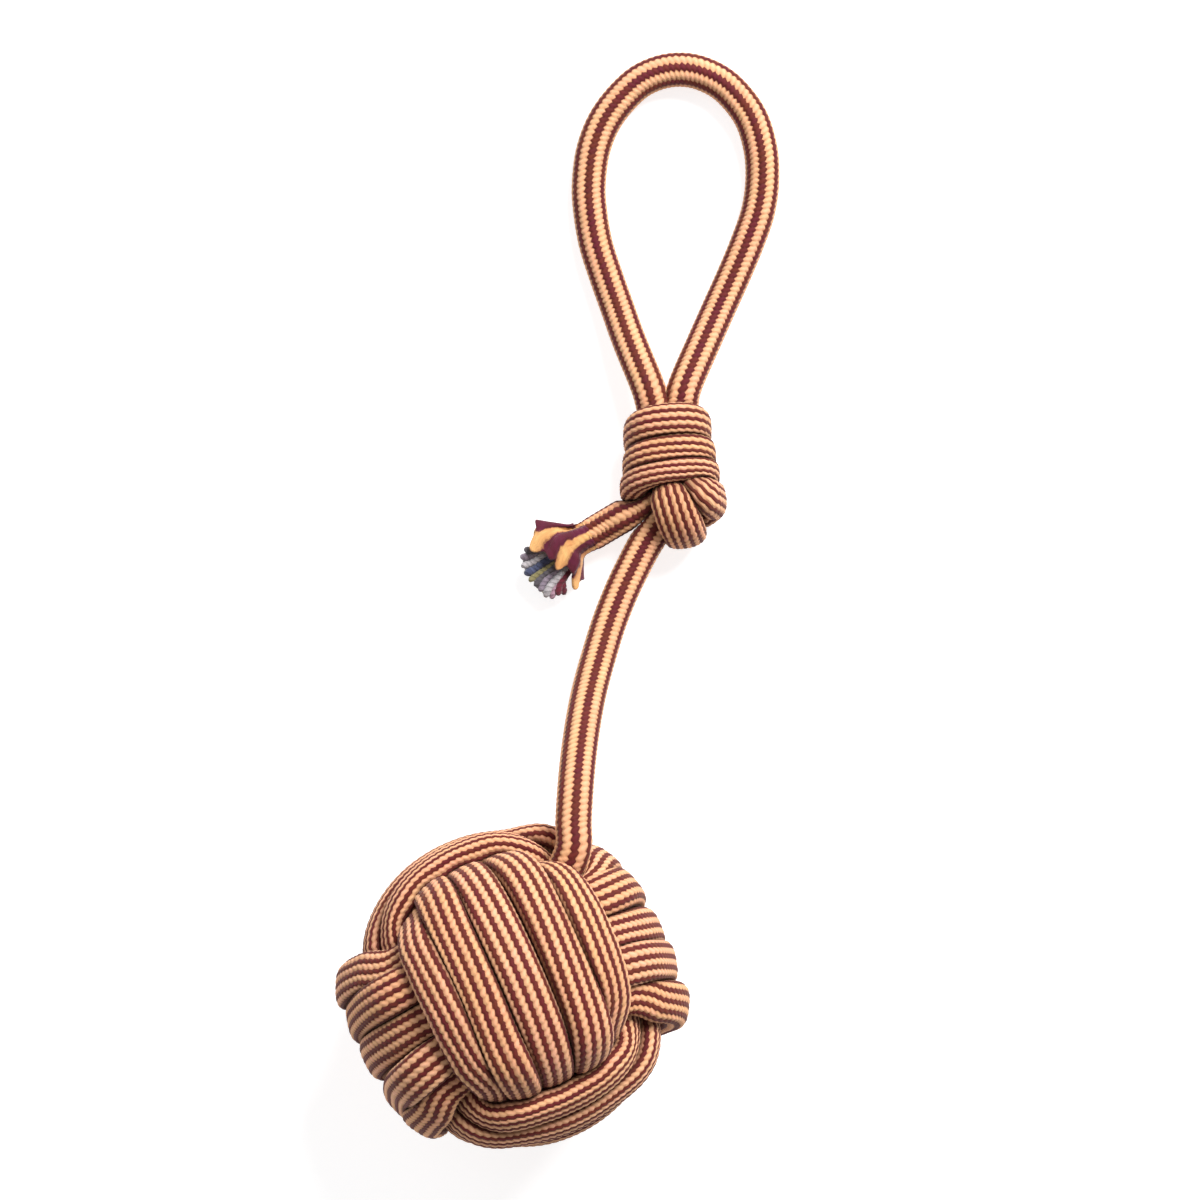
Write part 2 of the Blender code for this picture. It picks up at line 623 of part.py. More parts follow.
def build_cut_end(collection, mats):
    up = np.array([0.0, 0.0, 1.0])
    # cover: an outer bell and an inner one joined at the mouth and at the back
    c, w, h = ring_sizes(FLARE_ROUTE, FLARE_R, 2.5)
    d, a = section_dirs(c, False, np.tile(up, (len(c), 1)), 14)
    flat = lambda half_w, half_h: np.stack([oval(a, x, y, 2.0) for x, y in zip(half_w, half_h)])
    outer = c[:, None, :] + d * flat(w, h)[:, :, None]
    inner = c[:, None, :] + d * flat(w - FLARE_WALL, h - FLARE_WALL)[:, :, None]
    outer[:, :, 2] = np.maximum(outer[:, :, 2], 0.0)
    inner[:, :, 2] = np.maximum(inner[:, :, 2], 0.5)
    back = inner[1] * 0.8 + c[1] * 0.2
    rings = np.concatenate([outer, inner[:0:-1], back[None]])
    loft("tail_cover_flare", rings, False, TAIL_PIVOT, collection, mats["cream"])
    c, w, h = ring_sizes(YARN_ROUTE, YARN_R, 2.8)
    d, a = section_dirs(c, False, np.tile(up, (len(c), 1)), 12)
    rings = c[:, None, :] + d * np.stack([oval(a, x, y, 2.0) for x, y in zip(w, h)])[:, :, None]
    rings[:, :, 2] = np.maximum(rings[:, :, 2], 1.2)
    loft("tail_core_yarns", rings, False, TAIL_PIVOT, collection, mats["yarn"])


def main():
    empty_scene()
    parts = bpy.data.collections.new("monkeys_fist")
    bpy.context.scene.collection.children.link(parts)
    mats = {
        "rope": material("knitted_rope", RED, 0.9),
        "cream": material("knitted_rope_cream", CREAM, 0.9),
        "yarn": material("core_yarn", GREY, 0.95),
        "core": material("rubber_core", CORE_COLOUR, 0.7),
    }
    build_ball(parts, mats)
    build_tether(parts, mats)
    build_knot(parts, mats)
    build_loop(parts, mats)
    build_tail(parts, mats)
    build_cut_end(parts, mats)


main()
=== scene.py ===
import json
import math

import bpy
import numpy as np
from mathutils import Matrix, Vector

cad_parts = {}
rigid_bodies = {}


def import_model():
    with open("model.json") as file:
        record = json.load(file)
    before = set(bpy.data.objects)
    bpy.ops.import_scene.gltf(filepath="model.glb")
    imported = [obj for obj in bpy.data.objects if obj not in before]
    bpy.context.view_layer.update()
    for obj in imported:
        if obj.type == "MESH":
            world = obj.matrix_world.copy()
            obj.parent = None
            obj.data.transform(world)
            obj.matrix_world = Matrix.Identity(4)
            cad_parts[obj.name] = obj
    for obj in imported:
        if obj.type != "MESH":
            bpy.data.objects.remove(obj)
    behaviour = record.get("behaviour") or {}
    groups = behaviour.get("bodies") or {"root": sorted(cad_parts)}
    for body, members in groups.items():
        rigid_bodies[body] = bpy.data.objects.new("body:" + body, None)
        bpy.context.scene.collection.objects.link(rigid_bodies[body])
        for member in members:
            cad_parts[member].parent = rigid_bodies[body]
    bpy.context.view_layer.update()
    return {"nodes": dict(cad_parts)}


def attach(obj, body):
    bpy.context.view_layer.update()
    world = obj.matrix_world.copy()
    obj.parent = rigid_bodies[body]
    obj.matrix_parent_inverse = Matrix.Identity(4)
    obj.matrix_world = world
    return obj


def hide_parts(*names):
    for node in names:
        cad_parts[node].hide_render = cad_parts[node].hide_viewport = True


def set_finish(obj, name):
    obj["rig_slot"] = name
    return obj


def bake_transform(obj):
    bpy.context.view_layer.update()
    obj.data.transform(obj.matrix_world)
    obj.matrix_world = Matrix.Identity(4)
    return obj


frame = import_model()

# Everything below is worked out in millimetres in the frame that the routes were
# laid out in, and moved into the model's frame when a mesh is made.
ORIGIN = np.array([-12.12, 4.54, 0.0])
CORE_D = 63.0

BALL_CENTRE = np.array([-29.1, -126.8, 52.5])
BALL_TURN_Z = 25.0
BALL_TILT = (11.4, 13.1)
TURNS = 5
OVER_R = {"front_wrap": 48.2, "top_wrap": 46.0, "side_wrap": 48.0}
UNDER_R = 37.7
PITCH_OVER = {"front_wrap": 13.2, "top_wrap": 12.2, "side_wrap": 13.2}
PITCH_UNDER = 11.4
SIZE = {"front_wrap": (7.4, 5.2), "top_wrap": (6.3, 4.9), "side_wrap": (7.3, 5.2)}  # half width, half thickness
PATH_POINTS, SETTLE_STEPS = 60, 46
CROWN = {"front_wrap": 130.0, "top_wrap": 100.0, "side_wrap": 210.0}
POWER = {"front_wrap": 2.3, "top_wrap": 2.15, "side_wrap": 2.3}
HUG = 66.0  # less draws the outer turns closer to the core where they dive, mm
CROSS_GAP, CLASH_GAP, SIDE_GAP, POST_GAP, HOLD = 9.2, 7.6, 11.2, 9.6, 0.15
# how far single turns lie further out on the set's first and second panel
UNEVEN = {
    "side_wrap_5": (-4.5, 3.5),
    "side_wrap_4": (-0.5, 1.5),
    "side_wrap_2": (0.8, -1.5),
    "side_wrap_1": (0.0, -1.5),
    "top_wrap_5": (1.0, -1.5),
    "top_wrap_4": (0.5, 1.5),
    "top_wrap_3": (0.0, 1.0),
    "top_wrap_2": (0.0, -3.0),
    "top_wrap_1": (0.0, -1.5),
}
# and to one side: on the first and second panel, and where they dive on either side
SLID = {
    "side_wrap_1": (-2.5, -5.0, 0.0, 0.0),
    "side_wrap_2": (0.0, -2.2, 0.0, 0.0),
    "side_wrap_3": (0.0, -0.2, 0.0, 0.0),
    "side_wrap_4": (0.0, 2.2, 0.0, 0.0),
    "side_wrap_5": (-1.5, 5.0, -3.0, 0.0),
    "front_wrap_5": (0.5, 0.0, -0.5, -1.0),
    "front_wrap_4": (-0.7, 0.0, -0.5, -0.5),
    "front_wrap_3": (-1.7, 0.0, -2.0, -0.5),
    "front_wrap_2": (-3.5, 0.0, -4.5, -0.5),
    "front_wrap_1": (-5.5, 0.0, -6.8, -1.5),
    "top_wrap_5": (-1.2, 1.2, -1.5, 0.0),
}
# and nearer or farther over a short stretch: where round the turn, how wide, how much
NUDGE = {
    "front_wrap_1": [(45, 17, 2.2)],
    "front_wrap_2": [(45, 17, 2.8)],
    "front_wrap_3": [(45, 17, 2.5)],
    "front_wrap_4": [(45, 17, 1.5)],
    "top_wrap_2": [(-42, 15, -4.0), (-145, 13, -6.0)],
    "top_wrap_3": [(-42, 15, -4.0), (-145, 13, -2.0), (145, 16, 1.5)],
    "top_wrap_4": [(-42, 15, -4.5), (30, 15, -3.5), (-145, 13, -2.0), (145, 16, 2.0)],
}
# how far a set lies to one side on its two panels, and where it dives on either side
FAR_SHIFT = {"front_wrap": (1.0, 0.0), "top_wrap": (0.0, 0.0), "side_wrap": (-0.8, -3.5)}
NEAR_SHIFT = {"front_wrap": (-1.0, -1.4), "top_wrap": (0.0, 0.0), "side_wrap": (-1.0, -1.0)}
SETS = (("front_wrap", 0, 1, 2), ("top_wrap", 2, 0, 1), ("side_wrap", 1, 2, 0))

TETHER_ROOT = np.array([-8.7, -80.4, 68.0])
KNOT_PIVOT = np.array([15.0, 18.4, 13.0])
LOOP_PIVOT_Y, LOOP_PIVOT_Z = 73.7, 15.0
FOLD_Y, FOLD_Z = 133.1, 6.0
TAIL_PIVOT = np.array([7.6, 28.5, 12.2])

TETHER_ROUTE = [
    TETHER_ROOT,
    (-8.5, -71.5, 66.0),
    (-8.0, -62.2, 61.5),
    (-7.0, -51.0, 53.0),
    (-5.4, -39.6, 43.5),
    (-3.3, -29.3, 34.5),
    (-0.3, -18.5, 26.5),
    (3.2, -7.4, 20.3),
    (7.5, 3.4, 16.2),
    (11.6, 11.9, 13.8),
    KNOT_PIVOT,
    (18.7, 24.5, 13.2),
    (21.4, 30.2, 13.6),
    (23.2, 36.0, 13.9),
]
LOOP_ROUTE = [
    (19.7, 47.0, 15.0),
    (19.4, 54.4, 15.0),
    (18.9, 61.0, 15.0),
    (17.8, 67.1, 15.2),
    (15.8, LOOP_PIVOT_Y, LOOP_PIVOT_Z),
    (9.9, 88.7, 10.6),
    (6.0, 100.0, 7.4),
    (2.1, 111.1, 6.3),
    (-1.4, 122.1, 6.08),
    (-3.3, FOLD_Y, FOLD_Z),
    (-3.8, 142.7, 6.0),
    (-2.1, 155.0, 6.0),
    (2.6, 166.0, 6.0),
    (11.0, 175.8, 6.0),
    (18.9, 180.4, 6.0),
    (27.4, 181.9, 6.0),
    (35.7, 180.3, 6.0),
    (43.9, 175.4, 6.0),
    (51.4, 166.0, 6.0),
    (55.0, 155.0, 6.0),
    (55.7, 144.0, 6.0),
    (54.2, FOLD_Y, FOLD_Z),
    (50.4, 122.1, 6.08),
    (45.8, 111.1, 6.3),
    (40.8, 100.0, 7.4),
    (35.8, 88.7, 10.6),
    (29.3, LOOP_PIVOT_Y, LOOP_PIVOT_Z),
    (27.7, 67.1, 15.2),
    (27.2, 61.0, 15.0),
    (27.0, 54.4, 15.0),
    (26.8, 47.0, 15.0),
]
TAIL_ROUTE = [
    (18.4, 35.0, 13.7),
    (16.0, 33.2, 13.5),
    (13.3, 31.5, 12.9),
    TAIL_PIVOT,
    (2.0, 25.3, 10.2),
    (-2.9, 22.4, 9.2),
]
BARREL = [
    ((22.9, 56.3, 14.9), 10.6, 10.6, 0.10, 0.38),
    ((23.5, 46.6, 14.9), 11.5, 10.8, 0.15, 0.38),
    ((23.7, 40.0, 14.9), 12.6, 10.8, 0.17, 0.36),
]
BARREL_SIZE = [(6.0, 4.5), (5.6, 4.5), (4.5, 4.5)]
CROSSING = [
    (23.2, 39.2, 21.2),
    (24.3, 34.6, 24.2),
    (25.8, 29.2, 24.0),
    (27.5, 24.7, 20.6),
    (28.6, 22.5, 14.0),
    (28.6, 23.2, 7.4),
    (27.8, 27.0, 4.9),
    (27.2, 30.0, 4.9),
]
SIDE = [
    (30.8, 40.6, 20.9),
    (32.8, 39.2, 22.9),
    (35.6, 36.6, 21.8),
    (37.8, 35.0, 15.8),
    (38.0, 35.0, 9.4),
    (36.6, 33.6, 5.8),
    (33.6, 31.4, 4.9),
    (30.2, 29.8, 5.2),
]

# the cut end: each wale of the cover runs from the neck to the rim by way of two
# points; the first lies on top of the tail and the others follow towards its right
FLARE_NECK = (-2.6, 22.6, 9.25)
FLARE_RIBS = [
    ((-8.7, 18.9, 15.0), (-11.7, 16.9, 15.4), (-14.6, 10.8, 14.2)),
    ((-6.9, 16.6, 13.6), (-7.6, 13.6, 13.9), (-10.2, 9.3, 12.9)),
    ((-5.3, 15.2, 10.4), (-6.6, 11.2, 9.6), (-8.8, 4.3, 9.4)),
    ((-5.0, 15.3, 8.0), (-5.8, 11.8, 6.4), (-5.6, 6.2, 5.0)),
    ((-5.6, 15.9, 5.4), (-6.0, 12.4, 4.3), (-7.5, 6.0, 3.2)),
    ((-7.2, 17.7, 3.6), (-9.4, 14.2, 2.5), (-11.5, 8.2, 1.7)),
    ((-8.6, 19.7, 3.1), (-12.4, 16.6, 2.1), (-16.0, 10.8, 1.5)),
    ((-9.6, 21.7, 3.7), (-14.6, 18.8, 2.6), (-19.8, 14.4, 2.0)),
    ((-8.8, 25.6, 7.6), (-16.4, 25.2, 6.4), (-22.4, 22.6, 5.2)),
    ((-9.2, 25.5, 12.8), (-16.4, 26.0, 13.4), (-22.0, 26.9, 12.4)),
    ((-9.8, 24.1, 11.0), (-17.6, 23.0, 14.5), (-23.1, 17.9, 13.8)),
    ((-9.3, 23.1, 14.6), (-14.0, 20.5, 16.0), (-17.2, 13.4, 15.2)),
]
FLARE_REACH = [0.02, -0.03, 0.03, -0.04, 0.0, -0.05, 0.03, -0.02, 0.02, 0.0, 0.04, -0.02]
FLARE_BULGE = [0.8, 0.9, 1.0, 0.6, 0.6, 0.5, 0.5, 0.5, 0.5, 0.9, 1.3, 1.1]
FLARE_WALL = 1.2
# loose core yarns: where each ends, its radius and its colour
YARNS = [
    ((-25.6, 17.4, 10.4), 1.25, "grey"),
    ((-27.2, 14.6, 10.0), 1.30, "lilac"),
    ((-26.6, 11.5, 10.9), 1.25, "white"),
    ((-25.6, 8.9, 10.6), 1.45, "navy"),
    ((-24.2, 6.3, 9.6), 1.15, "olive"),
    ((-22.3, 4.9, 10.4), 1.10, "grey"),
    ((-20.6, 2.9, 9.2), 1.30, "lilac"),
    ((-18.6, 0.9, 10.0), 1.30, "white"),
    ((-16.6, 0.6, 8.6), 1.25, "mauve"),
    ((-14.3, 1.6, 9.4), 1.30, "wine"),
    ((-12.0, 1.9, 7.8), 1.25, "wine"),
    ((-26.2, 13.0, 7.2), 1.25, "grey"),
    ((-25.4, 9.9, 7.0), 1.30, "navy"),
    ((-23.6, 7.0, 6.4), 1.25, "lilac"),
    ((-21.4, 4.2, 6.3), 1.30, "grey"),
    ((-19.2, 2.2, 6.0), 1.25, "olive"),
    ((-16.8, 1.4, 5.4), 1.30, "lilac"),
    ((-23.4, 12.2, 4.0), 1.25, "white"),
    ((-21.8, 8.4, 3.6), 1.30, "grey"),
    ((-19.0, 5.4, 3.2), 1.25, "navy"),
    ((-15.6, 4.0, 3.2), 1.25, "grey"),
    ((-22.6, 15.8, 6.8), 1.25, "white"),
]

# the knitted cover
# every other column of stitches is cream; the knit opens where the rope is slack and
# closes up where it is drawn tight, so fewer and broader columns show there
SLACK, TIGHT, KNOTTED, BENT = 12, 18, 20, 24  # wales round the rope
STITCH, SLACK_STITCH = 2.2, 1.9  # one stitch along the rope, mm
PER_STITCH = 5  # mesh points to a stitch
GROOVE, DIP = 0.46, 0.32  # depth between wales and between stitches, mm
ZIGZAG = 0.14  # how far each stitch leans over its neighbour, in wales
SLANT = 0.45

rng = np.random.default_rng(7)


# ------------------------------------------------------------------ geometry
def unit(a):
    return a / np.maximum(np.linalg.norm(a, axis=-1, keepdims=True), 1e-12)


def between(rows, q, closed):
    """Catmull-Rom values of evenly spaced rows at fractional positions q."""
    n = len(rows)
    i = np.floor(q).astype(int)
    t = (q - i).reshape((-1,) + (1,) * (rows.ndim - 1))
    if closed:
        a, b, c, d = (rows[(i + k) % n] for k in (-1, 0, 1, 2))
    else:
        i = np.clip(i, 0, n - 2)
        t = (q - i).reshape(t.shape)
        first, last = 2 * rows[:1] - rows[1:2], 2 * rows[-1:] - rows[-2:-1]
        rows = np.concatenate([first, rows, last])
        a, b, c, d = (rows[i + k] for k in (0, 1, 2, 3))
    return 0.5 * (2 * b + (c - a) * t + (2 * a - 5 * b + 4 * c - d) * t**2 + (3 * b - 3 * c + d - a) * t**3)


def even(points, n, closed=False):
    """n points evenly spaced along a smooth curve through the points, and its length."""
    p = np.asarray([np.asarray(v, float) for v in points])
    fine = between(p, np.arange(0, len(p) * 16 if closed else (len(p) - 1) * 16 + 1) / 16, closed)
    if closed:
        fine = np.vstack([fine, fine[:1]])
    s = np.r_[0, np.cumsum(np.linalg.norm(np.diff(fine, axis=0), axis=1))]
    q = np.arange(n) / n * s[-1] if closed else np.linspace(0, s[-1], n)
    return np.stack([np.interp(q, s, fine[:, j]) for j in range(3)], 1), float(s[-1])


def tangents(c, closed):
    if closed:
        return unit(np.roll(c, -1, 0) - np.roll(c, 1, 0))
    t = np.empty_like(c)
    t[1:-1] = c[2:] - c[:-2]
    t[0], t[-1] = c[1] - c[0], c[-1] - c[-2]
    return unit(t)


def oval(a, half_w, half_t, power):
    return (np.abs(np.cos(a) / half_w) ** power + np.abs(np.sin(a) / half_t) ** power) ** (-1 / power)


def squeezed(c, d, r, others, gap, reach=24.0):
    """Radii cut back to the plane half way to every other rope's centre line."""
    r = r.copy()
    for i in range(len(c)):
        v = others - c[i]
        dist = np.linalg.norm(v, axis=1)
        near = (dist < reach) & (dist > 1.0)
        if not near.any():
            continue
        n = v[near] / dist[near, None]
        dn = d[i] @ n.T
        lim = np.where(dn > 0.05, (dist[near] / 2 - gap / 2) / np.maximum(dn, 0.05), 1e9)
        r[i] = np.minimum(r[i], lim.min(1))
    return r


def softened(r, closed, along=1, round_=1):
    for _ in range(round_):
        r = (np.roll(r, 1, 1) + 2 * r + np.roll(r, -1, 1)) / 4
    for _ in range(along):
        if closed:
            r = (np.roll(r, 1, 0) + 2 * r + np.roll(r, -1, 0)) / 4
        else:
            r[1:-1] = (r[2:] + 2 * r[1:-1] + r[:-2]) / 4
    return r


def relief(u, v, dip_depth=DIP):
    """Height of the knit at u stitches along and v wales round, mm, at most 0."""
    f = u - np.floor(u)
    lean = np.minimum(f / 0.7, (1 - f) / 0.3) - 0.5
    w = v + 2 * ZIGZAG * lean
    w = w - np.floor(w) - 0.5
    p = u + SLANT * w + 0.25
    p = p - np.floor(p)
    groove = np.abs(2 * w) ** 2.2
    dip = np.abs(2 * p - 1) ** 2.6
    return -GROOVE * groove - dip_depth * dip * (1 - 0.5 * groove)


class Rope:
    """A knitted rope skinned over a centre line, ready to be cut into pieces."""

    def __init__(self, line, closed, outward, half_w=6.0, half_t=6.0, power=2.0, others=None, gap=0.15,
                 shift=0.0, top_stretch=1.0, step=2.0, extra=None, floor=0.05, soft=(1, 1), stitch=STITCH, wales=TIGHT):
        n = max(8, int(round(even(line, 40, closed)[1] / step)))
        c, total = even(line, n, closed)
        t = tangents(c, closed)
        out = outward(c) if callable(outward) else np.tile(np.asarray(outward, float), (n, 1))
        nrm = unit(out - t * (out * t).sum(1, keepdims=True))
        b = np.cross(t, nrm)
        k = 64
        a = np.arange(k) * 2 * math.pi / k
        d = b[:, None, :] * np.cos(a)[None, :, None] + nrm[:, None, :] * np.sin(a)[None, :, None]
        r = np.tile(oval(a, half_w, half_t, power), (n, 1))
        contact_mask = np.zeros((n, k))
        if others is not None:
            # painted shade: how hard each side of the section is pressed against its neighbours, used to darken the
            # colour there
            contact_mask = np.clip((r + 1.4 - squeezed(c, d, r + 1.4, others, gap)) / 1.4, 0, 1)
            contact_mask = softened(contact_mask * contact_mask * (3 - 2 * contact_mask), closed, 1, 1)
            r = squeezed(c, d, r, others, gap)
        if extra is not None:
            r = extra(c, d, r)
        r = softened(r, closed, *soft)
        if floor is not None:
            down = -d[:, :, 2]
            lim = np.where(down > 0.05, (c[:, 2:3] - floor) / np.maximum(down, 0.05), 1e9)
            r = np.minimum(r, lim)
        # wales are spread round each section by its own length, from its outer side
        top = k // 4
        order = (np.arange(-k // 2, k // 2 + 1) + top) % k
        sec = np.stack([np.cos(a) * r, np.sin(a) * r], 2)[:, order]
        s = np.concatenate([np.zeros((n, 1)), np.cumsum(np.linalg.norm(np.diff(sec, axis=1), axis=2), 1)], 1)
        s = s - s[:, k // 2 : k // 2 + 1]
        half = np.where(s < 0, -s[:, :1], s[:, -1:])
        x = np.abs(s) / half
        wale = np.sign(s) * wales / 2 * (top_stretch * x + (1 - top_stretch) * x**3)
        turn = np.arange(-k // 2, k // 2 + 1) * 2 * math.pi / k + math.pi / 2

        stitches = int(round(total / stitch))
        rings = stitches * PER_STITCH + (0 if closed else 1)
        u = np.arange(rings) / PER_STITCH
        q = u / stitches * (n if closed else n - 1)
        c2 = between(c, q, closed)
        n2 = unit(between(nrm, q, closed))
        t2 = tangents(c2, closed)
        n2 = unit(n2 - t2 * (n2 * t2).sum(1, keepdims=True))
        b2 = np.cross(t2, n2)
        r2 = between(r, q, closed)
        wale2 = between(wale, q, closed)
        contact_mask2 = between(contact_mask, q, closed)
        self.per = 5 if wales > SLACK else 7  # mesh points to a wale
        v = np.arange(wales * self.per) / self.per
        offset = shift(u / stitches) if callable(shift) else np.full(rings, float(shift))
        pts = np.empty((rings, len(v), 3))
        self.contact_shade = np.empty((rings, len(v)))
        closed_a = np.r_[a, 2 * math.pi]
        h = relief(u[:, None], v[None, :], 0.17 if wales == SLACK else 0.28) * math.sqrt(16 / wales)
        for i in range(rings):
            want = (v + offset[i] + wales / 2) % wales - wales / 2
            ang = np.interp(want, wale2[i], turn) % (2 * math.pi)
            rad = np.interp(ang, closed_a, np.r_[r2[i], r2[i, 0]]) + h[i]
            self.contact_shade[i] = np.interp(ang, closed_a, np.r_[contact_mask2[i], contact_mask2[i, 0]])
            pts[i] = c2[i] + (b2[i] * np.cos(ang)[:, None] + n2[i] * np.sin(ang)[:, None]) * rad[:, None]
        if floor is not None:
            pts[:, :, 2] = np.maximum(pts[:, :, 2], floor)
        self.pts, self.u, self.line, self.closed = pts, u, c2, closed
        self.total, self.stitches = total, stitches
        self.t, self.n, self.b = t2, n2, b2

    def ring_at(self, length):
        """The ring at a stitch boundary near this length along the rope."""
        return int(round(length / self.total * self.stitches)) * PER_STITCH

    def piece(self, name, mat, first=0, last=None, caps=(False, False)):
        closed = self.closed and last is None
        last = len(self.pts) - 1 if last is None else last
        pts, u = self.pts[first : last + 1], self.u[first : last + 1]
        n, m = pts.shape[:2]
        verts = pts.reshape(-1, 3)
        rows = n if closed else n - 1
        i, j = np.meshgrid(np.arange(rows), np.arange(m), indexing="ij")
        i1, j1 = (i + 1) % n, (j + 1) % m
        quads = np.stack([i * m + j, i1 * m + j, i1 * m + j1, i * m + j1], 2).reshape(-1, 4)
        uu = np.stack([i, i + 1, i + 1, i], 2) / PER_STITCH + u[0]
        vv = np.stack([j, j, j + 1, j + 1], 2) / self.per
        knit = np.stack([uu, vv], 3).reshape(-1, 2)
        bake = bake_layout(i, j, rows, m, self.total * (last - first) / max(len(self.pts) - 1, 1), 38.0)
        tris = []
        extra_uv, extra_bake = [], []
        if any(caps):
            bake[:, 1] *= 0.96
        for end, wanted in enumerate(caps):
            if not wanted:
                continue
            low = 0.965 + 0.017 * end
            row = 0 if end == 0 else n - 1
            verts = np.vstack([verts, pts[row].mean(0)])
            mid = len(verts) - 1
            for jj in range(m):
                kk = (jj + 1) % m
                tris.append((row * m + kk, row * m + jj, mid) if end == 0 else (row * m + jj, row * m + kk, mid))
                extra_uv += [(u[0], 0.5)] * 3
                extra_bake += [((jj + 0.1) / m, low), ((jj + 0.9) / m, low), ((jj + 0.5) / m, low + 0.013)]
        obj = make_mesh(name, verts, quads, knit, bake, mat, tris, extra_uv, extra_bake)
        # weights of the painted shade on the pressed sides, one to a mesh point
        contact_shade = np.zeros(len(verts), np.float32)
        contact_shade[: n * m] = self.contact_shade[first : last + 1].ravel()
        obj.data.attributes.new("contact_shade", "FLOAT", "POINT").data.foreach_set("value", contact_shade)
        return obj


def bake_layout(i, j, rows, m, length, girth):
    """The strip folded into bands that fill a square, for baked images."""
    bands = max(1, int(round(math.sqrt(length / girth))))
    per = math.ceil(rows / bands)
    band, k = i // per, i % per
    edge = 0.01 / bands
    x = np.stack([k, k + 1, k + 1, k], 2) / per * 0.996 + 0.002
    y = np.stack([j, j, j + 1, j + 1], 2) / m
    y = (band[:, :, None] + edge + y * (1 - 2 * edge)) / bands
    return np.stack([x, y], 3).reshape(-1, 2)


def make_mesh(name, verts, quads, knit, bake, mat, tris=(), extra_uv=(), extra_bake=(), which=None):
    """A mesh from layout millimetres, with the knit's coordinates and a bake map."""
    me = bpy.data.meshes.new(name)
    verts = (verts - ORIGIN) * 0.001
    quads = np.asarray(quads, np.int32).reshape(-1, 4)
    tris = np.asarray(tris, np.int32).reshape(-1, 3)
    loops = np.concatenate([quads.ravel(), tris.ravel()])
    starts = np.concatenate([np.arange(len(quads)) * 4, len(quads) * 4 + np.arange(len(tris)) * 3])
    me.vertices.add(len(verts))
    me.vertices.foreach_set("co", verts.astype(np.float32).ravel())
    me.loops.add(len(loops))
    me.loops.foreach_set("vertex_index", loops.astype(np.int32))
    me.polygons.add(len(starts))
    me.polygons.foreach_set("loop_start", starts.astype(np.int32))
    me.update(calc_edges=True)
    for label, values, more in (("OFBake", bake, extra_bake), ("knit", knit, extra_uv)):
        layer = me.uv_layers.new(name=label)
        values = np.concatenate([np.asarray(values, float).reshape(-1, 2), np.asarray(more, float).reshape(-1, 2)])
        layer.uv.foreach_set("vector", values.astype(np.float32).ravel())
    me.polygons.foreach_set("use_smooth", np.ones(len(starts), bool))
    for m in mat if isinstance(mat, list) else [mat]:
        me.materials.append(m)
    if which is not None:
        me.polygons.foreach_set("material_index", np.asarray(which, np.int32))
    me.validate()
    me.update()
    obj = bpy.data.objects.new(name, me)
    bpy.context.scene.collection.objects.link(obj)
    return obj


# ----------------------------------------------------------------- materials
def linear(r, g, b):
    f = lambda x: x / 12.92 if x <= 0.04045 else ((x + 0.055) / 1.055) ** 2.4
    return (f(r / 255), f(g / 255), f(b / 255), 1.0)


class Nodes:
    """Short names for the shader nodes used here."""

    def __init__(self, name):
        self.m = bpy.data.materials.new(name)
        self.m.use_nodes = True
        self.t = self.m.node_tree
        self.bsdf = self.t.nodes["Principled BSDF"]

    def put(self, socket, value):
        if isinstance(value, bpy.types.NodeSocket):
            self.t.links.new(value, socket)
        else:
            socket.default_value = value

    def math(self, op, a, b=0.0, c=0.0, clamp=False):
        n = self.t.nodes.new("ShaderNodeMath")
        n.operation, n.use_clamp = op, clamp
        for s, v in zip(n.inputs, (a, b, c)):
            self.put(s, v)
        return n.outputs[0]

    def mix(self, fac, a, b, blend="MIX"):
        n = self.t.nodes.new("ShaderNodeMix")
        n.data_type, n.blend_type = "RGBA", blend
        self.put(n.inputs[0], fac)
        self.put(n.inputs[6], a)
        self.put(n.inputs[7], b)
        return n.outputs[2]

    def xyz(self, x, y, z):
        n = self.t.nodes.new("ShaderNodeCombineXYZ")
        for s, v in zip(n.inputs, (x, y, z)):
            self.put(s, v)
        return n.outputs[0]

    def noise(self, vector, scale, detail=2.0, rough=0.5):
        n = self.t.nodes.new("ShaderNodeTexNoise")
        self.put(n.inputs["Vector"], vector)
        self.put(n.inputs["Scale"], scale)
        self.put(n.inputs["Detail"], detail)
        self.put(n.inputs["Roughness"], rough)
        return n.outputs[0]

    def white(self, vector):
        n = self.t.nodes.new("ShaderNodeTexWhiteNoise")
        n.noise_dimensions = "3D"
        self.put(n.inputs["Vector"], vector)
        return n.outputs["Value"]

    def bump(self, height, strength, distance):
        n = self.t.nodes.new("ShaderNodeBump")
        self.put(n.inputs["Strength"], strength)
        self.put(n.inputs["Distance"], distance)
        self.put(n.inputs["Height"], height)
        self.t.links.new(n.outputs[0], self.bsdf.inputs["Normal"])

    def attribute(self, name):
        n = self.t.nodes.new("ShaderNodeAttribute")
        n.attribute_name = name
        return n.outputs["Fac"]

    def uv(self, name="knit"):
        n = self.t.nodes.new("ShaderNodeUVMap")
        n.uv_map = name
        s = self.t.nodes.new("ShaderNodeSeparateXYZ")
        self.t.links.new(n.outputs[0], s.inputs[0])
        return s.outputs[0], s.outputs[1]


